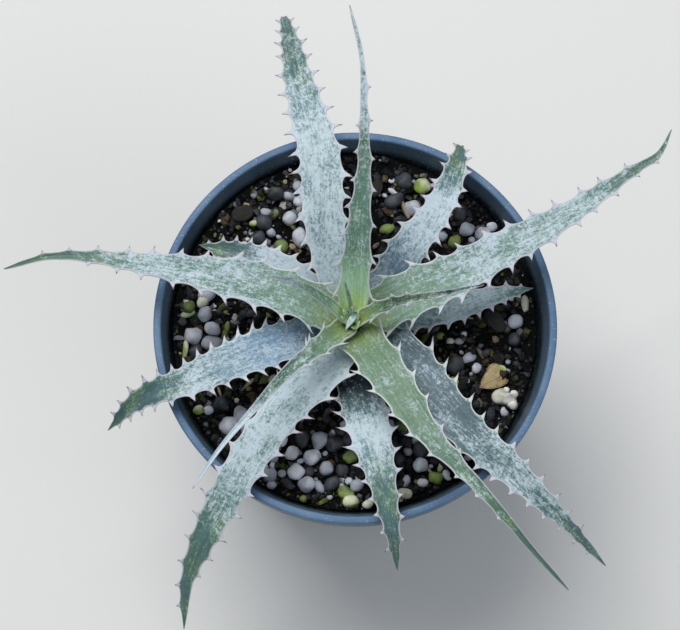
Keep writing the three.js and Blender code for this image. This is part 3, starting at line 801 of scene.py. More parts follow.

# %% [markdown]
# Crumbs of peat, grit and bark are far too many to shape one by one. Each starts as a coarse ball of
# twenty faces, which is stretched, turned and lifted a little, at a place drawn evenly over the
# disc. Its colour comes from a short list, mostly near black, as dark as the mix and so partly
# painted shade. Toward the far left and the back, where the light comes from, the crumbs are made
# lighter and the draw leans to the later colours, grey, mossy and pale: this is painted light. In
# front, under the leaves, they stay dark as painted shade. The faces stay flat, because broken peat
# has sharp edges.

# %% Crumbs
CRUMBS = 4800
CRUMB_SMALL = 0.28
CRUMB_RANGE = 1.0
CRUMB_STRETCH = 1.4  # the most that a crumb is longer than wide
CRUMB_TILT = 1.2
CRUMB_RAISED = 0.25
CRUMB_FROM_STEM = 1.6
CRUMBS_LIGHTER_FROM = 2  # millimetres from the middle toward the far left
CRUMBS_LIGHTER_OVER = 45
# mostly near black, as dark as the mix, which is partly painted shade
CRUMB_COLOURS = [  # each colour and the share of crumbs up to it
    ((0.002, 0.0025, 0.003), 0.42), ((0.009, 0.010, 0.014), 0.6), ((0.03, 0.033, 0.044), 0.74),
    ((0.016, 0.024, 0.007), 0.82), ((0.05, 0.034, 0.018), 0.865), ((0.09, 0.11, 0.025), 0.905),
    ((0.13, 0.13, 0.155), 0.95), ((0.20, 0.17, 0.12), 0.98), ((0.40, 0.40, 0.38), 1.0),
]


def make_crumbs():
    """Small sharp lumps strewn over the mix."""
    heap = []
    draw = seeded_random(MIX_SEED + 9)
    reach = inner_wall(MIX_LEVEL)
    for _ in range(CRUMBS):
        distance = reach * math.sqrt(draw())
        around = 2 * math.pi * draw()
        x = distance * math.cos(around)
        y = distance * math.sin(around)
        stretch = 1 + CRUMB_STRETCH * draw() ** 2
        room = (inner_wall(mix_height(x, y)) - distance - GAP) / stretch
        size = min(CRUMB_SMALL + CRUMB_RANGE * draw() ** 2.4, room)
        if math.hypot(x - STEM_X, y) < COLLAR_RADIUS + CRUMB_FROM_STEM:
            continue
        height = mix_height(x, y) + crumb_height(x, y)
        middle = Vector((x, y, height + CRUMB_RAISED * size))
        spin = Matrix.Rotation(2 * math.pi * draw(), 3, "Z")
        tilt = Matrix.Rotation(CRUMB_TILT * (draw() - 0.5), 3, "Y")
        flat = Matrix.Diagonal((stretch * size, size, size * (0.55 + 0.3 * draw())))
        turned = spin @ tilt @ flat
        points = [middle + turned @ point * (0.75 + 0.5 * draw()) for point in BALLS[1][0]]
        # painted light: toward the far left and the back the crumbs are lighter, in lighter colours; in
        # front they stay dark as painted shade
        dusty = min(max((0.7 * y - 0.8 * x - CRUMBS_LIGHTER_FROM) / CRUMBS_LIGHTER_OVER, 0), 1)
        kind = draw() ** (1 - 0.55 * dusty)
        colour = next(colour for colour, upto in CRUMB_COLOURS if kind <= upto)
        shade = (0.6 + 0.8 * draw()) * (1 + 0.5 * dusty)
        heap.append((1, points, [[value * shade for value in colour]] * len(points)))
    return poured(heap)


crumb_finish, tree, shader = new_material("peat_crumb")
crumbs = finish_piece("crumbs", make_crumbs(), [crumb_finish], "potting_mix")
crumbs.data.polygons.foreach_set("use_smooth", [False] * len(crumbs.data.polygons))

# %% [markdown]
# Each crumb keeps its own colour, under a thin film of brown dust that a fine noise breaks up.

# %% Crumb finish
place = object_place(tree)
own = put(tree, "Attribute", attribute_name="tint").outputs["Color"]
dust = cloudy(tree, place, 2.5, 3.0, 0.6)
crumb_colour = mix_colours(tree, ramp(tree, dust, 0.4, 0.8, 0.0, 0.5), own, (0.02, 0.017, 0.014, 1))
tree.links.new(crumb_colour, shader.inputs["Base Color"])
shader.inputs["Roughness"].default_value = 0.5
shader.inputs["Specular IOR Level"].default_value = 0.25
feel(tree, shader, dust, 0.0002, 0.7)
print("nodes in the crumbs' finish:", len(tree.nodes))

# %% [markdown]
# Bark chips are thin split pieces. Each starts as a flat block of fine cells, whose ends are drawn
# in and whose faces and edges are made uneven by noise. The first one is a pale wedge, and the
# others are almost black. A number on each point says how far across the chip it lies, and the
# finish draws the grain along the chip from that.

# %% Bark chips
CHIPS = [
    (35, -12, 8, 5, 35), (36, 3, 7, 4, -50), (-29, 31, 6, 4, 20), (5.5, 38, 5, 3, 70),
    (-24, -8, 6, 4, 10), (14, -22, 6, 4, -30),
]
CHIP_THICK = 2.4
CHIP_TIP = 14
CHIP_LIFT = 0.4
CHIP_RAISED = 0.5  # more than the frame's
CHIP_CUTS = 7
CHIP_COLOURS = [(0.60, 0.46, 0.25), (0.014, 0.016, 0.023), (0.012, 0.011, 0.012)]


def make_chip(number, x, y, length, width, turn):
    """A split, rounded chip as a mesh, with its colour and its lines of grain."""
    chip = bmesh.new()
    bmesh.ops.create_cube(chip, size=1)
    bmesh.ops.subdivide_edges(chip, edges=chip.edges[:], cuts=CHIP_CUTS, use_grid_fill=True)
    tint = chip.verts.layers.float_color.new("tint")
    grain = chip.verts.layers.float.new("grain")
    colour = CHIP_COLOURS[min(number, len(CHIP_COLOURS) - 1)]
    wedge = 0.45 if number == 0 else 0
    for vert in chip.verts:
        across = Vector((vert.co.x, vert.co.y, 0)) * 2
        taper = 1 - 0.35 * abs(across.x) ** 3 + wedge * across.x
        wobble = noise.noise(Vector((vert.co.x * 2, vert.co.y * 2, number * 7.0)))
        vert[grain] = across.y * width / 2 + 0.3 * wobble
        vert[tint] = (*colour, 1)
        vert.co.y *= taper * (1 + 0.25 * wobble)
        vert.co.x *= 1 - 0.2 * abs(across.y) ** 2
        ridge = noise.noise(Vector((vert.co.x * 5, vert.co.y * 9, number * 5.0)))
        vert.co.z *= 0.8 - 0.4 * across.length_squared / 2 + 0.4 * wobble + 0.35 * ridge
    bmesh.ops.scale(chip, verts=chip.verts[:], vec=(length * MM, width * MM, CHIP_THICK * MM))
    turned = Matrix.Rotation(math.radians(turn), 4, "Z")
    tipped = Matrix.Rotation(math.radians(CHIP_TIP), 4, "X")
    raised = Vector((x, y, mix_height(x, y) + CHIP_LIFT + CHIP_RAISED)) * MM
    matrix = Matrix.Translation(raised) @ (turned @ tipped)
    bmesh.ops.transform(chip, verts=chip.verts[:], matrix=matrix)
    mesh = bpy.data.meshes.new("chip")
    chip.to_mesh(mesh)
    chip.free()
    return mesh


def make_chips():
    """All chips in one bmesh, with the layers that each of them brings."""
    bm = bmesh.new()
    bm.verts.layers.float_color.new("tint")
    bm.verts.layers.float.new("grain")
    for number, chip in enumerate(CHIPS):
        mesh = make_chip(number, *chip)
        bm.from_mesh(mesh)
        bpy.data.meshes.remove(mesh)
    print("chips:", len(CHIPS))
    return bm


chip_finish, tree, shader = new_material("split_bark")
finish_piece("bark_chips", make_chips(), [chip_finish], "potting_mix")

# %% [markdown]
# The grain is a noise that changes fast across the chip and hardly along it. It darkens the chip's
# own colour, and damp blotches darken it again.

# %% Bark finish
GRAIN_LINES = 5.0  # to a millimetre

own = put(tree, "Attribute", attribute_name="tint").outputs["Color"]
across = put(tree, "Attribute", attribute_name="grain").outputs["Fac"]
mottle = cloudy(tree, object_place(tree), 0.9, 4.0, 0.6)
line = reckon(tree, "MULTIPLY", across, GRAIN_LINES)
lines = put(tree, "CombineXYZ", {0: line, 1: mottle}).outputs[0]
grain = cloudy(tree, lines, 1.0, 3.0, 0.6)
bark = mix_colours(tree, ramp(tree, grain, 0.4, 0.75, 0.0, 0.65), own, (0.05, 0.038, 0.026, 1))
damp = ramp(tree, mottle, 0.45, 0.75, 0.0, 0.55)
bark = mix_colours(tree, damp, bark, (0.025, 0.02, 0.016, 1))
tree.links.new(bark, shader.inputs["Base Color"])
shader.inputs["Roughness"].default_value = 0.8
feel(tree, shader, grain, 0.0003, 0.8)
print("nodes in the bark's finish:", len(tree.nodes))

# %% [markdown]
# ## The leaves
#
# All sixteen leaves are one shape with other numbers. A leaf is a thick blade that leaves the stem,
# arches out and tapers to a point, with a midline through a few measured stations. Each station
# gives a place on the upper face and the width there. Near the stem the blade bends round it, so
# that the bases clasp the stem and nest in one another, like funnels in a stack. The numbers are
# those of the part's source.

# %% Leaf table
NO_TEETH = (0, 0, 0)
# name: height of the foot, width of the base, fold in degrees, teeth on the left and on the right
# as (first, last, count), tone from 0 young and green to 1 old and grey, and the stations
LEAVES = {
    "leaf_centre": (93.8, 1.5, 50, NO_TEETH, NO_TEETH, 0, [
        (-1.2, 2.8, 98, 1.1), (-1.9, 4.3, 102.5, 0.8), (-2.6, 5.8, 107, 0.6)]),
    "leaf_upright_west": (92, 3, 55, NO_TEETH, NO_TEETH, 0, [
        (-7, 2, 102, 3), (-13.5, 3.5, 112, 2), (-20.5, 4, 119, 0.7)]),
    "leaf_upright_east": (91.5, 4.5, 40, (9, 20, 3), (7, 20, 3), 0, [
        (6, 1.2, 99.5, 4), (13, 1.2, 107.5, 2.6), (21.5, 0.7, 114.5, 1.6), (30.5, 1.5, 120, 0.7)]),
    "leaf_southwest_narrow": (90.5, 7, 40, (8, 20, 3), (8, 14, 2), 0.25, [
        (-9.5, -9, 99, 5.4), (-17.5, -17.5, 105, 3), (-24.5, -27, 111, 1.8), (-32, -37, 115, 1.1),
        (-38.5, -47.5, 118, 0.7)]),
    "leaf_north_young": (89.5, 8.5, 18, (9, 52, 7), (9, 61, 7), 0.25, [
        (0, 10.5, 101, 8), (1, 21, 109, 6.3), (2, 32, 116.5, 3.8), (2, 43.5, 123.5, 2.2),
        (1.5, 55.5, 129, 1.2), (-1.5, 67.5, 134, 0.8)]),
    "leaf_southeast_young": (88.5, 11, 16, (7, 46.5, 6), (7.5, 64.5, 9), 0.3, [
        (5.5, -11.5, 96.5, 11), (11.5, -21.5, 100.5, 9.3), (18, -32, 104, 6.5), (26.5, -41.5, 105, 3.8),
        (35, -51, 104, 2.4), (43, -60, 100.5, 1.4), (51.5, -68.5, 96, 0.8)]),
    "leaf_west_long": (87.5, 11, 9, (10.5, 67.5, 9), (10.5, 79, 11), 0.4, [
        (-14, 5, 95, 11), (-26, 8, 98.5, 11.2), (-38.5, 10, 100.5, 8.8), (-51.5, 12, 101, 6.2),
        (-64, 14, 100, 3.8), (-76.5, 15, 97.5, 1.8), (-88.5, 13, 93, 0.8)]),
    "leaf_east_long": (86.5, 12, 9, (13, 78.5, 11), (9, 86, 13), 0.4, [
        (12.5, 5.5, 94.5, 12.5), (25, 10, 98.5, 11.3), (36.5, 16, 100.5, 9.7), (48.5, 22, 102, 7.7),
        (59.5, 29, 102, 5.3), (69.5, 36, 102, 3), (76, 40, 103, 1.6), (79, 45.5, 106, 0.8)]),
    "leaf_southwest_broad": (85.5, 12.5, 8, (12, 75.5, 11), (11, 85, 13), 0.6, [
        (-9, -13.2, 91, 12), (-17.5, -23, 93.5, 10.3), (-25, -33.5, 94, 10.2), (-31.5, -44, 91.5, 9),
        (-37.5, -54.5, 86.5, 7), (-42, -64.5, 79.5, 3.5), (-43, -75, 72, 0.8)]),
    "leaf_north_broad": (84.5, 10, 8, (10, 91, 15), (14, 90.5, 14), 0.8, [
        (-5.5, 13.5, 92.5, 10), (-8, 25.5, 98.5, 10.8), (-8.7, 38.5, 101, 11), (-11.7, 51, 99, 9.6),
        (-14.7, 63.5, 95, 7.8), (-16.7, 75, 89, 5.3), (-18.7, 85.5, 81, 2.3)]),
    "leaf_southeast_broad": (83.5, 11.5, 8, (12, 79, 13), (11, 84.5, 15), 0.85, [
        (11.5, -8, 90, 11.5), (19, -18, 93.5, 11), (27, -28.5, 94.5, 10), (36.8, -37.2, 93.5, 8.5),
        (46.3, -45.3, 89, 6), (54.5, -52, 82.5, 3.3), (63, -59.5, 75, 0.8)]),
    "leaf_west_grey": (82.5, 11, 8, (11, 65.5, 13), (11, 64, 15), 1, [
        (-17, -4.5, 88.5, 10.7), (-29, -10, 93, 10.3), (-41.5, -16, 94, 8.3), (-54, -20, 89.5, 5.7),
        (-62.5, -26, 81, 0.8)]),
    "leaf_northeast_short": (81.5, 10.5, 8, (12, 57.5, 10), (12, 56, 11), 1, [
        (8, 10.5, 87.5, 10.2), (13.5, 18, 95, 9.7), (20.5, 26.5, 99.5, 7.8), (25, 36.5, 99, 6.2),
        (27, 46, 92, 2.3)]),
    "leaf_south_short": (80.5, 11, 8, (11, 55.5, 9), (11.5, 57.5, 11), 1, [
        (1, -16, 86, 11.7), (3.5, -28, 90.5, 11), (6.5, -41, 93, 7.6), (9, -53, 90, 4.3),
        (10.5, -61.5, 80, 0.8)]),
    "leaf_northwest_low": (79.8, 8.5, 8, (13, 37, 7), (12, 40, 9), 0.9, [
        (-11.5, 10, 83, 9), (-20, 15.5, 85, 9), (-30, 19, 85, 7.3), (-40, 22, 84, 0.8)]),
    "leaf_east_low": (79, 7.5, 8, (12, 41, 8), (13, 40, 8), 0.9, [
        (13.5, 3.5, 82, 8), (24, 5, 84.5, 8), (35, 8, 85, 5.5), (45.5, 10.5, 84, 0.8)]),
}
print("leaves:", len(LEAVES))

# %% [markdown]
# A curve through measured points is drawn here as a Catmull-Rom line, which passes through every
# station and needs no handles. Working on whole columns of numbers at once keeps sixteen fine leaves
# quick: the line is sampled once, and every later question, such as where the midline is 40 mm along,
# is read off those samples.

# %% Midline of a leaf
MIDDLE_THICK = 2.2  # of a broad leaf
TIP_WIDTH = 0.7
NEST_REACH = 24  # distance from the stem over which a blade bends round it
CLASP = math.radians(78)  # half the angle that a base takes round the stem
STEM_SUNK = 0.2  # how deep a leaf's foot is let into the stem
POINT_LENGTH = 5  # over which the tip narrows to a point
POINT_LEFT = 0.2  # share of the width that is left at the very end
POINT_CURVE = 0.6
BLUNT_WIDTH = 2  # a leaf that is wider than this at its end has lost its point
BLUNT_LEFT = 0.8
SAMPLES = 600


def smooth_rows(rows, samples):
    """Samples of the Catmull-Rom line through the rows, evenly spread over its spans."""
    rows = np.array(rows, float)
    padded = np.vstack([2 * rows[0] - rows[1], rows, 2 * rows[-1] - rows[-2]])
    places = np.linspace(0, len(rows) - 1, samples)
    span = np.minimum(places.astype(int), len(rows) - 2)
    w = (places - span)[:, None]
    before, start, stop, after = (padded[span + k] for k in range(4))
    squared = (2 * before - 5 * start + 4 * stop - after) * w ** 2
    cubed = (3 * start - before - 3 * stop + after) * w ** 3
    return 0.5 * (2 * start + (stop - before) * w + squared + cubed)


def stem_radius(height):
    """Radius of the stem, which narrows upward from its collar."""
    climb = min(max((height - STEM_COLLAR) / (STEM_TOP - STEM_COLLAR), 0), 1)
    return COLLAR_RADIUS + (TOP_RADIUS - COLLAR_RADIUS) * climb


def with_foot(foot, base, stations):
    """The stations of a leaf with its foot, on the stem, put before them."""
    heading = math.atan2(stations[0][1], stations[0][0] - STEM_X)
    reach = stem_radius(foot - MIDDLE_THICK) - STEM_SUNK
    return [(STEM_X + reach * math.cos(heading), reach * math.sin(heading), foot, base), *stations]


def midline_of(stations, clasps):
    """Samples along a leaf: distance from the foot, place, direction, width and hold on the stem."""
    rows = smooth_rows(stations, SAMPLES)
    line = rows[:, :3]
    steps = np.linalg.norm(np.diff(line, axis=0), axis=1)
    along = np.concatenate([[0], np.cumsum(steps)])
    ahead = np.gradient(line, along, axis=0)
    ahead /= np.linalg.norm(ahead, axis=1)[:, None]
    reach = np.hypot(line[:, 0] - STEM_X, line[:, 1])
    width = np.maximum(TIP_WIDTH, rows[:, 3])
    nest = np.zeros(SAMPLES)
    if clasps:
        width = np.minimum(width, 2 * CLASP * reach)
        nest = np.maximum(0, 1 - reach / NEST_REACH)
    point = np.clip((along[-1] - along) / min(POINT_LENGTH, along[-1] / 3), 0, 1)
    left = BLUNT_LEFT if rows[-1, 3] > BLUNT_WIDTH else POINT_LEFT
    width = width * (left + (1 - left) * point ** POINT_CURVE)
    return {"along": along, "line": line, "ahead": ahead, "width": width, "nest": nest,
            "length": along[-1]}


def read_off(midline, key, at):
    """What the samples say at these distances along the leaf."""
    values = midline[key]
    if values.ndim == 1:
        return np.interp(at, midline["along"], values)
    return np.stack([np.interp(at, midline["along"], column) for column in values.T], axis=-1)


print("stem radius at the foot of the lowest leaf:", round(stem_radius(79), 2), "mm")

# %% [markdown]
# Every point of a leaf is given by three numbers: how far along the midline, how far out from it,
# and how deep under the upper face. This cell lays such points in space. Near the stem the section is
# an arc round the stem. Further out both halves rise from the midline by the fold, with a rounded
# valley between them instead of a crease.

# %% Laying points on a leaf
VALLEY_ROUND = 0.9
VALLEY_PER_WIDTH = 0.16
FOLD_AT_TIP = 20  # degrees that a leaf folds more toward its tip
FOLD_GROWS = (0.5, 0.95)  # as shares of the length
STEEPEST = 2  # slope that a clasping base has at most


def smooth_step(value, low, high):
    """A soft step from 0 to 1 between low and high."""
    part = np.clip((value - low) / (high - low), 0, 1)
    return part * part * (3 - 2 * part)


def lay(midline, fold, at, out, down):
    """Places in millimetres of the points that are at along, out to the left and down under."""
    middle = read_off(midline, "line", at)
    ahead = read_off(midline, "ahead", at)
    level = np.hypot(ahead[:, 0], ahead[:, 1])
    slope = ahead[:, 2]
    forward = ahead[:, :2] / level[:, None]
    left = np.stack([-forward[:, 1], forward[:, 0]], axis=-1)
    reach = np.hypot(middle[:, 0] - STEM_X, middle[:, 1])
    nest = read_off(midline, "nest", at)
    bend = nest / reach
    turn = bend * out
    curved = bend > 1e-9
    safe = np.where(curved, bend, 1)
    aside = np.where(curved, np.sin(turn) / safe, out)
    back = np.where(curved, (1 - np.cos(turn)) / safe, 0)
    outward = forward * np.cos(turn)[:, None] + left * np.sin(turn)[:, None]
    up = np.column_stack([outward * -slope[:, None], level])
    flat = middle[:, :2] + left * aside[:, None] - forward * back[:, None]
    reach_here = np.hypot(flat[:, 0] - STEM_X, flat[:, 1])
    height = middle[:, 2] + nest * np.minimum(slope / level, STEEPEST) * (reach_here - reach)
    rounding = np.minimum(VALLEY_ROUND, read_off(midline, "width", at) * VALLEY_PER_WIDTH)
    valley = np.sqrt(out ** 2 + rounding ** 2) - rounding
    folded = fold + FOLD_AT_TIP * smooth_step(at / midline["length"], *FOLD_GROWS)
    steep = np.tan(np.radians(folded))
    lift = (1 - nest) * valley * steep - down
    return np.column_stack([flat, height]) + up * lift[:, None]


print("rounding of the valley, in a leaf 4 mm wide:", 4 * VALLEY_PER_WIDTH, "mm")

# %% [markdown]
# The margin is what the plant is known by. Between two spines it is bitten out in a long concave
# curve, and each spine rises from that curve as a slender thorn, which leans back near the leaf's
# base and forward near its tip. So the margin's height over its valley is a sum of two cusps: a wide
# one for the flare and a narrow one for the thorn.

# %% Margin with spines
TOOTH_HEIGHT = 0.6
TOOTH_PER_WIDTH = 1 / 6
VALLEY_DIP = 0.4  # how far the margin is bitten out, on a leaf of at least the next width
FULL_DIP_WIDTH = 6
FLARE_SHARE = 0.45  # of a tooth's height, made by the flare
FLARE_CURVE = 2.5
THORN_CURVE = 1.15
THORN_HALF = 0.6  # half the width of a thorn at its foot
INNER_STRIP = 0.4  # width of the strip inside the margin that carries the teeth
TOOTH_STRAY = 0.1  # of the pitch, to either side
TOOTH_SIZE_STRAY = 0.18
THORN_LONGER = 1.18  # than the frame's, whose thorns end in a blunt tip


def tooth_tips(teeth):
    """Where along the leaf the thorns of one margin stand, a little uneven."""
    first, last, count = teeth
    if not count:
        return np.empty(0), np.empty(0)
    draw = seeded_random(int(first * 97 + last * 31 + count))
    pitch = (last - first) / (count - 1)
    places = [first + pitch * (i + TOOTH_STRAY * (2 * draw() - 1)) for i in range(count)]
    sizes = [THORN_LONGER + TOOTH_SIZE_STRAY * (2 * draw() - 1) for _ in range(count)]
    return np.array(places), np.array(sizes)


def margin_of(midline, teeth, at):
    """Distance from the midline to the valley line, height of the margin over it, and flare."""
    width = read_off(midline, "width", at)
    tips, sizes = tooth_tips(teeth)
    if len(tips) == 0:
        return width / 2, np.zeros_like(at), np.zeros_like(at)
    pitch = (tips[-1] - tips[0]) / (len(tips) - 1)
    nearest = np.argmin(np.abs(at[:, None] - tips[None, :]), axis=1)
    off = np.abs(at - tips[nearest])
    past_ends = np.maximum(tips[0] - at, at - tips[-1])
    toothed = np.clip(1 - (past_ends - pitch / 2) / (pitch / 2), 0, 1)
    dip = VALLEY_DIP * np.minimum(1, width / FULL_DIP_WIDTH) * toothed
    full = (TOOTH_HEIGHT + width * TOOTH_PER_WIDTH) * sizes[nearest]
    flare = np.clip(1 - off / (pitch / 2), 0, 1) ** FLARE_CURVE
    thorn = np.clip(1 - off / THORN_HALF, 0, 1) ** THORN_CURVE
    height = full * (FLARE_SHARE * flare + (1 - FLARE_SHARE) * thorn)
    return width / 2 - dip, height, flare


thorns = sum(left[2] + right[2] for *_, left, right, _, _ in LEAVES.values())
print("thorns on all leaves:", thorns)

# %% [markdown]
# Rows of cells cross the leaf. A thorn is little over a millimetre wide at its foot and ends in a
# point, so rows crowd round each tip, on either margin, and spread out between them. That way
# sixteen leaves stay light enough to work with.

# %% Rows and columns of a leaf
TIP_ROWS = (-1.3, -0.8, -0.5, -0.28, -0.12, 0, 0.12, 0.28, 0.5, 0.8, 1.3)  # round a thorn's tip
ROW_STEP = 0.8
ROW_GAP = 0.05  # the least
INNER_COLUMNS = (0, 0.2, 0.4, 0.6, 0.78, 0.92, 1)  # shares of the blade, midline to strip
OUTER_COLUMNS = (0.35, 0.7, 1)  # shares of the strip and the thorn
HALF_COLUMNS = len(INNER_COLUMNS) + len(OUTER_COLUMNS) - 1


def row_places(length, *sides):
    """Where rows cross the leaf: close at each tooth tip and about a step apart elsewhere."""
    wanted = {0.0, length}
    for teeth in sides:
        wanted.update(float(tip + shift) for tip in tooth_tips(teeth)[0] for shift in TIP_ROWS)
    wanted = sorted(place for place in wanted if 0 <= place <= length)
    places = [wanted[0]]
    for place in wanted[1:]:
        gap = place - places[-1]
        if gap < ROW_GAP and place < length:
            continue
        cells = max(1, math.ceil(gap / ROW_STEP))
        places.extend(np.linspace(places[-1], place, cells + 1)[1:])
    return np.array(places)


def slab_of_cells(rows, columns):
    """A closed flat slab of rows by columns points in two layers, numbered by where they lie."""
    bm = bmesh.new()
    bmesh.ops.create_grid(bm, x_segments=rows - 1, y_segments=columns - 1, size=1)
    raised = bmesh.ops.extrude_face_region(bm, geom=bm.faces[:])["geom"]
    top = [item for item in raised if isinstance(item, bmesh.types.BMVert)]
    bmesh.ops.translate(bm, verts=top, vec=(0, 0, 1))
    bmesh.ops.recalc_face_normals(bm, faces=bm.faces[:])
    return bm


print("rows on a bare 100 mm leaf:", len(row_places(100, NO_TEETH)))

# %% [markdown]
# A leaf starts as a flat slab of cells, like a sheet of graph paper with a thickness. Each point
# knows its row, its column and its layer, and is then laid in space by the rules above, with a slow
# wave in the margins of broad leaves. The slab is closed from the start, so the leaf is too. The
# same numbers go on the mesh as attributes, because the finish follows the leaf and not the world:
# where on the leaf a point is, how near the margin, and how far out on a thorn.

# %% Leaf builder
LEAN_AT_BASE = math.radians(-38)
LEAN_AT_TIP = math.radians(14)
THORN_THICK = 0.16
RIM_THICK = 0.42
EDGE_THICK = 0.6
TIP_MIDDLE = 0.9  # thickness along the midline, at the tip
NARROW_MIDDLE = 0.8  # and at the base of a narrow leaf, to which its width adds
MIDDLE_PER_WIDTH = 1 / 8
MIDDLE_CURVE = 1.3
RIM_DROP = 0.12  # how far the rim lies under the blade, and the thorn under that
THORN_DROP = 0.1
SHORT = 30  # length of a leaf under which its skin stays that of a leaf's base
NARROW = 4.5  # width of a leaf under which its pale edge is narrower too
WAVE = 0.35  # height of the slow wave in a broad margin
WAVE_LENGTH = 2.6  # millimetres to a radian of the wave
WAVY_WIDTHS = (3, 9)  # the wave grows from the one width to the other
WAVE_STARTS = (10, 25)  # and along the leaf from the one place to the other
FLARE_DEPTH = 2.0  # how far in from the margin the skin shows a flare
TINY = 1e-6  # keeps a division away from zero


def numbers_of(bm, rows):
    """Row, column from the midline, side and layer of each point of the slab."""
    flat = np.array([vert.co for vert in bm.verts])
    row = np.rint((flat[:, 0] + 1) / 2 * (rows - 1)).astype(int)
    column = np.rint(flat[:, 1] * HALF_COLUMNS).astype(int)
    return row, np.abs(column), np.sign(column), flat[:, 2] < 0.5


def bend_slab(bm, midline, fold, left_teeth, right_teeth, places, seed):
    """Moves the points of the slab onto the leaf and returns their attributes."""
    row, number, side, low = numbers_of(bm, len(places))
    at = places[row]
    length = midline["length"]
    width = read_off(midline, "width", at)
    on_left = margin_of(midline, left_teeth, at)
    on_right = margin_of(midline, right_teeth, at)
    edge, tooth, flare = (np.where(side > 0, a, b) for a, b in zip(on_left, on_right))

    # how far out: over the blade to its strip, then over the strip and the thorn
    strip = np.minimum(INNER_STRIP, edge * 0.4)
    inner = edge - strip
    share_in = np.array([*INNER_COLUMNS, *[1] * len(OUTER_COLUMNS)])[number]
    share_out = np.array([*[0] * len(INNER_COLUMNS), *OUTER_COLUMNS])[number]
    out = inner * share_in + (strip + tooth) * share_out
    on_tooth = share_out * tooth
    full_tooth = np.maximum(TOOTH_HEIGHT + width * TOOTH_PER_WIDTH, TINY)
    thorn = np.clip(on_tooth / full_tooth, 0, 1)

    # how thick: most along the midline, less at the rim and least at a thorn's tip
    own_width = float(read_off(midline, "width", length / 5))
    thickest = min(MIDDLE_THICK, NARROW_MIDDLE + own_width * MIDDLE_PER_WIDTH)
    middle_thick = (thickest + (TIP_MIDDLE - thickest) * at / length) * np.minimum(1, 0.4 + width)
    from_middle = np.clip(out / np.maximum(edge, TINY), 0, 1)
    thick = middle_thick + (EDGE_THICK - middle_thick) * from_middle ** MIDDLE_CURVE
    thick += (RIM_THICK - EDGE_THICK) * share_out
    thick += (THORN_THICK - thick) * thorn

    # how deep and how far along: a slow wave, and thorns that lean
    phase = at / WAVE_LENGTH + side * 1.3 + seed * 2.1
    wave = WAVE * np.sin(phase) * from_middle ** 2 * smooth_step(width, *WAVY_WIDTHS)
    down = RIM_DROP * share_out + THORN_DROP * thorn + wave * smooth_step(at, *WAVE_STARTS)
    down += np.where(low, thick, 0)
    lean = LEAN_AT_BASE + (LEAN_AT_TIP - LEAN_AT_BASE) * at / length
    leant = np.clip(at + np.tan(lean) * on_tooth * (0.6 + 0.6 * thorn), 0, length)
    points = lay(midline, fold, leant, side * out, down) * MM
    for vert, point in zip(bm.verts, points):
        vert.co = point
    rim = (inner + strip + tooth - out) * np.maximum(1, NARROW / width)
    return {
        "on_leaf": np.column_stack([at, side * out, seed * 17.0 + low * 4.0]),
        "rim": rim, "thorn": thorn, "flare": flare * np.clip(1 - rim / FLARE_DEPTH, 0, 1),
        "along": at / max(length, SHORT), "under": low.astype(float),
    }


def add_attribute(mesh, name, values):
    """Writes one number, or three, for each vertex of a mesh."""
    values = np.asarray(values, np.float32)
    kind = "FLOAT_VECTOR" if values.ndim == 2 else "FLOAT"
    attribute = mesh.attributes.new(name, kind, "POINT")
    attribute.data.foreach_set("vector" if values.ndim == 2 else "value", values.ravel())


def make_leaf(name, seed, finish, slot, midline, fold, left_teeth, right_teeth, *nodes):
    """One leaf as a piece, with its attributes."""
    places = row_places(midline["length"], left_teeth, right_teeth)
    bm = slab_of_cells(len(places), 2 * HALF_COLUMNS + 1)
    attributes = bend_slab(bm, midline, fold, left_teeth, right_teeth, places, seed)
    piece = finish_piece(name + "_blade", bm, [finish], slot, *nodes)
    for key, values in attributes.items():
        add_attribute(piece.data, key, values)


print("columns across a leaf:", 2 * HALF_COLUMNS + 1)

# %% [markdown]
# ## The leaf's skin
#
# The leaf itself is green. What makes it grey is scurf: a layer of tiny white scales, thick on the
# arch of the blade, thin at the heart and the tip, rubbed off in patches and bands, and drawn out in
# fine lines along the veins. All leaves share that skin, so it is one node group with named inputs:
# what the attributes say of a point, and what each leaf sets for itself. Six noises feed it. They
# are stretched along or across the leaf by the leaf's own coordinates.

# %% Patterns of the leaf's skin
def new_group(name, inputs, outputs):
    """An empty node group with named sockets, and its two end nodes."""
    group = bpy.data.node_groups.new(name, "ShaderNodeTree")
    for in_out, sockets in (("INPUT", inputs), ("OUTPUT", outputs)):
        for socket, kind in sockets.items():
            group.interface.new_socket(name=socket, in_out=in_out, socket_type="NodeSocket" + kind)
    start = group.nodes.new("NodeGroupInput")
    end = group.nodes.new("NodeGroupOutput")
    return group, start, end


def blend(tree, share, a, b):
    """Number a where share is 0 and b where it is 1."""
    return put(tree, "Mix", {0: share, 2: a, 3: b}, data_type="FLOAT").outputs[0]


skin, start, end = new_group(
    "leaf_skin",
    {"Place": "Vector", "Rim": "Float", "Thorn": "Float", "Flare": "Float", "Along": "Float",
     "Under": "Float", "Heart Ground": "Color", "Base Ground": "Color", "Middle Ground": "Color",
     "Tip Ground": "Color", "Base Scurf": "Float", "Middle Scurf": "Float", "Tip Scurf": "Float",
     "Grown By": "Float", "Thins From": "Float"},
    {"Color": "Color", "Roughness": "Float", "Height": "Float"})
given = start.outputs


def on_skin(along, across, detail=3.0, rough=0.6, distortion=0.4):
    """A cloudy pattern on the leaf, less a half, with its grain so fine along and across."""
    place = stretched(skin, given["Place"], (along, across, 1))
    return reckon(skin, "SUBTRACT", cloudy(skin, place, 1.0, detail, rough, distortion), 0.5)


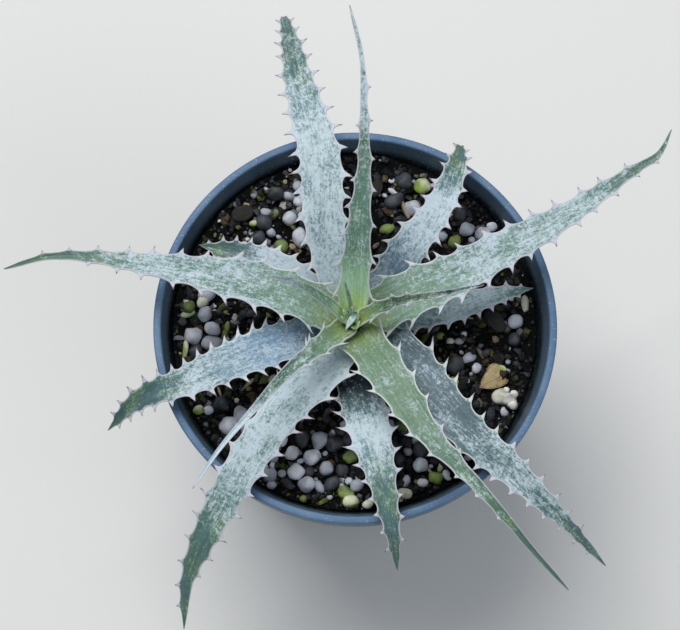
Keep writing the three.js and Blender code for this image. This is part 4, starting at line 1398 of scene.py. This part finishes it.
patches = on_skin(0.13, 0.24)
mottle = on_skin(0.75, 1.25, 4.0, 0.7, 0.9)
veins = on_skin(0.07, 1.5, 2.0)
strokes = on_skin(0.6, 2.4, 3.0, 0.65)
flecks = on_skin(2.4, 3.6, 3.0, 0.75, 0.8)
cross = on_skin(1.5, 0.2, 3.0, 0.65)
print("leaf skin group:", len(given) - 1, "inputs")

# %% [markdown]
# The ground under the scurf has four colours, from the heart over the base and the middle to the
# tip. Some patches are a fresher green, and a grain along the veins makes parts of it lighter. The
# scurf is a density of white over that ground. It follows the leaf in three steps, is broken up by
# the noises, and thickens on the underside and where the margin flares to a thorn.

# %% Ground and scurf of the leaf's skin
THINS_OVER = 0.32  # share of the length over which the scurf thins
GREEN_PATCH = (0.13, 0.235, 0.065, 1)
GRAIN_LIGHT = (1.6, 1.45, 1.75, 1)
SCURF_WHITE = (0.555, 0.668, 0.745, 1)
BREAKS_UP = ((patches, 1.9), (mottle, 2.9), (strokes, 1.0), (flecks, 1.4), (cross, 1.0))

grows_from = reckon(skin, "MULTIPLY", given["Grown By"], 0.4)
past_base = ramp(skin, given["Along"], grows_from, given["Grown By"])
thin_by = reckon(skin, "ADD", given["Thins From"], THINS_OVER)
at_tip = ramp(skin, given["Along"], given["Thins From"], thin_by)
in_heart = ramp(skin, given["Along"], 0.13, 0.02)

ground = mix_colours(skin, past_base, given["Base Ground"], given["Middle Ground"])
ground = mix_colours(skin, at_tip, ground, given["Tip Ground"])
ground = mix_colours(skin, in_heart, ground, given["Heart Ground"])
green = reckon(skin, "MULTIPLY", past_base, ramp(skin, patches, -0.1, 0.2, 0.0, 0.5))
ground = mix_colours(skin, green, ground, GREEN_PATCH)
grain = reckon(skin, "MULTIPLY_ADD", veins, 1.4, reckon(skin, "ADD", flecks, mottle))
ground = mix_colours(skin, ramp(skin, grain, -0.3, 0.4), ground, GRAIN_LIGHT, "MULTIPLY")

density = blend(skin, past_base, given["Base Scurf"], given["Middle Scurf"])
density = blend(skin, at_tip, density, given["Tip Scurf"])
for pattern, strength in BREAKS_UP:
    density = reckon(skin, "MULTIPLY_ADD", pattern, strength, density)
vein_strength = reckon(skin, "MULTIPLY_ADD", given["Along"], 0.9, 0.2)
density = reckon(skin, "MULTIPLY_ADD", veins, vein_strength, density)
density = reckon(skin, "MULTIPLY_ADD", given["Under"], 0.15, density)
density = reckon(skin, "MULTIPLY_ADD", given["Flare"], 0.45, density)
density = ramp(skin, density, -0.1, 1.1)
scurfed = mix_colours(skin, density, ground, SCURF_WHITE)
print("leaf skin group so far:", len(skin.nodes), "nodes")

# %% [markdown]
# The margin and its thorns are hard and have no green in them. They are white near the base and a
# little violet further out, and the points of the thorns are brown, more so away from the base. The
# leaf's dry end is greyer. The relief is low: strokes, bands and veins, and the scurf itself.

# %% Margin, thorns and relief of the leaf's skin
HORN_AT_BASE = (0.72, 0.76, 0.74, 1)
HORN_FURTHER = (0.61, 0.59, 0.66, 1)
THORN_BROWN = (0.20, 0.14, 0.15, 1)
DRY_END = (0.26, 0.24, 0.25, 1)

horn_colour = mix_colours(skin, past_base, HORN_AT_BASE, HORN_FURTHER)
uneven_rim = reckon(skin, "MULTIPLY_ADD", flecks, 0.35, given["Rim"])
near_rim = ramp(skin, uneven_rim, 0.5, 0.14)
pale = reckon(skin, "MAXIMUM", near_rim, ramp(skin, given["Thorn"], 0.2, 0.4))
coloured = mix_colours(skin, reckon(skin, "MULTIPLY", pale, 0.85), scurfed, horn_colour)
browner = ramp(skin, given["Along"], 0.08, 0.35, 0.3, 0.9)
brown = reckon(skin, "MULTIPLY", ramp(skin, given["Thorn"], 0.76, 1.0), browner)
coloured = mix_colours(skin, brown, coloured, THORN_BROWN)
dry = ramp(skin, given["Along"], 0.98, 1.0, 0.0, 0.5)
coloured = mix_colours(skin, dry, coloured, DRY_END)
relief = strokes
for pattern, strength in ((flecks, 0.5), (veins, 1.2), (density, 0.25), (cross, 0.6)):
    relief = reckon(skin, "MULTIPLY_ADD", pattern, strength, relief)
skin.links.new(coloured, end.inputs["Color"])
skin.links.new(ramp(skin, density, 0.0, 1.0, 0.42, 0.7), end.inputs["Roughness"])
skin.links.new(relief, end.inputs["Height"])
print("leaf skin group:", len(skin.nodes), "nodes")

# %% [markdown]
# Young leaves are a fresh olive green and old ones a blue-grey. One number for each leaf, its tone,
# runs between the two, from 0 to 1. Five more numbers tell how that leaf has weathered: how thick
# its scurf lies in three places, and where it grows thick and thins again. The last two paint light
# and shade into its ground, at the base and from the middle on: over 1 is painted light where a part
# lies in shade, and under 1 is painted shade where it lies under other leaves.

# %% Leaf finishes
# thickness of the scurf at the base, in the middle and at the tip, then, as shares of the leaf's
# length, where the middle begins and where the scurf starts to thin, then the painted light and
# shade of the ground at the base and from the middle on; a low base scurf, as on south_short,
# darkens a shaded base further
LOOKS = {
    "leaf_centre": (0, 0.1, 0.3, 0.34, 0.5, 1, 1),
    "leaf_upright_west": (0, 0.15, 0.6, 0.34, 0.5, 1.6, 1.5),
    "leaf_upright_east": (0, 0.05, 0.3, 0.34, 0.5, 0.85, 0.5),
    "leaf_southwest_narrow": (0.05, 0.25, 1.3, 0.3, 0.46, 0.9, 0.75),
    "leaf_north_young": (0.05, 0.05, 0.8, 0.26, 0.46, 2.1, 0.95),
    "leaf_southeast_young": (-0.03, 0.08, -0.5, 0.6, 0.6, 0.8, 0.85),
    "leaf_west_long": (0.05, 0.54, -0.2, 0.35, 0.56, 1, 1),
    "leaf_east_long": (-0.08, 0.58, 0, 0.37, 0.62, 1, 1),
    "leaf_southwest_broad": (0.84, 0.76, -0.28, 0.3, 0.46, 1.3, 1.05),
    "leaf_north_broad": (0.85, 0.72, 0.08, 0.34, 0.54, 1, 1),
    "leaf_southeast_broad": (0.04, 0.74, -0.1, 0.8, 0.58, 0.6, 0.85),
    "leaf_west_grey": (0.26, 0.74, -0.22, 0.66, 0.5, 1.55, 0.9),
    "leaf_northeast_short": (0.35, 0.98, -0.35, 0.66, 0.6, 1.1, 0.9),
    "leaf_south_short": (-0.22, 0.9, -0.2, 0.42, 0.38, 0.12, 1),
    "leaf_northwest_low": (1.15, -0.1, -0.3, 0.95, 0.6, 0.9, 0.8),
    "leaf_east_low": (0.1, 0.72, -0.1, 0.55, 0.66, 1.2, 1.4),
}
ATTRIBUTES = {"Place": ("on_leaf", "Vector"), "Rim": ("rim", "Fac"), "Thorn": ("thorn", "Fac"),
              "Flare": ("flare", "Fac"), "Along": ("along", "Fac"), "Under": ("under", "Fac")}
GROUNDS = {  # young and old
    "Heart Ground": ((0.33, 0.455, 0.10), (0.09, 0.15, 0.195)),
    "Base Ground": ((0.20, 0.335, 0.145), (0.105, 0.18, 0.235)),
    "Middle Ground": ((0.095, 0.19, 0.105), (0.085, 0.19, 0.185)),
    "Tip Ground": ((0.075, 0.145, 0.10), (0.06, 0.125, 0.12)),
}
SCURF_INPUTS = ("Base Scurf", "Middle Scurf", "Tip Scurf", "Grown By", "Thins From")
SLOTS = (("leaf_heart", 0.1), ("leaf_young", 0.4), ("leaf_grown", 0.7), ("leaf_old", 2))


def between(young, old, tone, light):
    """A colour between the young and the old one, times light: painted shade under 1, painted light
    over 1.
    """
    return (*[light * (a + (b - a) * tone) for a, b in zip(young, old)], 1)


def leaf_finish(name, tone, look):
    """The skin of one leaf, set by its tone and by its look."""
    *scurf, painted_light_at_base, painted_light_further = look
    material, tree, shader = new_material("skin_of_" + name)
    inputs = {key: put(tree, "Attribute", attribute_name=attribute).outputs[kind]
              for key, (attribute, kind) in ATTRIBUTES.items()}
    # painted light and shade: the ground of each zone is lightened or darkened by these two numbers
    lights = (painted_light_at_base, painted_light_at_base, painted_light_further, painted_light_further)
    for (key, (young, old)), light in zip(GROUNDS.items(), lights):
        inputs[key] = between(young, old, tone, light)
    inputs.update(zip(SCURF_INPUTS, scurf))
    own = put(tree, "Group", inputs, node_tree=skin).outputs
    tree.links.new(own["Color"], shader.inputs["Base Color"])
    tree.links.new(own["Roughness"], shader.inputs["Roughness"])
    shader.inputs["Specular IOR Level"].default_value = 0.35
    feel(tree, shader, own["Height"], 0.00018, 0.6)
    return material


def slot_of(tone):
    """The record's slot for a leaf of this tone."""
    return next(slot for slot, upto in SLOTS if tone < upto)


for seed, (name, leaf) in enumerate(LEAVES.items()):
    foot, base, fold, left_teeth, right_teeth, tone, stations = leaf
    midline = midline_of(with_foot(foot, base, stations), True)
    finish = leaf_finish(name, tone, LOOKS[name])
    make_leaf(name, seed, finish, slot_of(tone), midline, fold, left_teeth, right_teeth, name)

# %% [markdown]
# ## The heart
#
# The stem hardly shows. It is the short cone that all the leaves clasp, and it is spun like the pot,
# with a low crown. Its finish is a fresh green with fine upright lines.

# %% Stem
STEM_FOOT = 62
STEM_CROWN = 1.4  # height of the crown over the top
STEM_SIDES = 48


def make_stem():
    """The cone of the stem with its crown."""
    bm = bmesh.new()
    spin_profile(bm, [
        (0, STEM_FOOT), (COLLAR_RADIUS, STEM_FOOT), (COLLAR_RADIUS, STEM_COLLAR),
        (TOP_RADIUS, STEM_TOP), (TOP_RADIUS * 0.6, STEM_TOP + STEM_CROWN * 0.7),
        (0, STEM_TOP + STEM_CROWN)], STEM_SIDES)
    bmesh.ops.translate(bm, verts=bm.verts[:], vec=(STEM_X * MM, 0, 0))
    return bm


stem_finish, tree, shader = new_material("stem_skin")
finish_piece("heart_stem", make_stem(), [stem_finish], "stem", "stem")
lines = cloudy(tree, stretched(tree, object_place(tree), (3, 3, 0.5)), 1.0, 3.0, 0.6)
light = ramp(tree, lines, 0.35, 0.7)
stem_colour = mix_colours(tree, light, (0.05, 0.10, 0.012, 1), (0.15, 0.25, 0.05, 1))
tree.links.new(stem_colour, shader.inputs["Base Color"])
shader.inputs["Roughness"].default_value = 0.5
feel(tree, shader, lines, 0.0001, 0.5)

# %% [markdown]
# On top of the stem the youngest leaves stand half closed. They are the same leaf once more, a few
# millimetres long and with no thorns. They don't clasp the stem but stand on it, each with its own
# lean, and the oldest of them is grey and bends over the rest.

# %% Young leaves of the heart
# painted light: the heart's young leaves stand deep in the rosette's shade, and their ground is made
# lighter to make up for it
HEART_PAINTED_LIGHT = 1.7  # how light their ground is
HEART_SEED = 40
# name: fold in degrees, tone, and the stations, of which the first stands on the stem
HEART_LEAVES = {
    "heart_grey": (10, 0.8, [(0.1, 1.4, 92.6, 1.3), (-0.3, 0.2, 95.6, 1.4), (-1, -1.1, 96.7, 1.5),
                             (-1.8, -2.5, 96.8, 1.2), (-2.5, -3.8, 96.2, 0.8)]),
    "heart_left": (30, 0, [(-1.6, -0.1, 92.2, 1.2), (-2.2, 0.3, 95, 1.3), (-2.9, 1.1, 97.6, 0.7)]),
    "heart_low_left": (30, 0, [
        (-1.7, -0.9, 92, 1.1), (-2.4, -0.9, 94.4, 1.1), (-3.3, -0.4, 96.6, 0.7)]),
    "heart_back": (34, 0.4, [
        (-1.1, 0.2, 92.4, 0.9), (-1.15, 0.6, 96.2, 0.9), (-0.9, 1.3, 99.4, 0.7)]),
    "heart_right": (30, 0, [(-0.3, -0.3, 92.2, 1.1), (0.3, -0.2, 94.6, 1), (0.7, 0.8, 97, 0.6)]),
    "heart_front": (14, 0, [(-0.4, -1.3, 91.4, 1.6), (-0.1, -1.9, 93, 1.6), (0.4, -1.9, 94.4, 1.1),
                            (0.9, -1.3, 95.4, 0.6)]),
}
for seed, (name, (fold, tone, stations)) in enumerate(HEART_LEAVES.items()):
    midline = midline_of(stations, False)
    scurf = (0.1 + 0.3 * tone, 0.15 + 0.35 * tone, 0.3 + 0.3 * tone, 0.34, 0.5)
    finish = leaf_finish(name, tone, (*scurf, HEART_PAINTED_LIGHT, HEART_PAINTED_LIGHT))
    make_leaf(name, seed + HEART_SEED, finish, "leaf_heart", midline, fold, NO_TEETH, NO_TEETH)
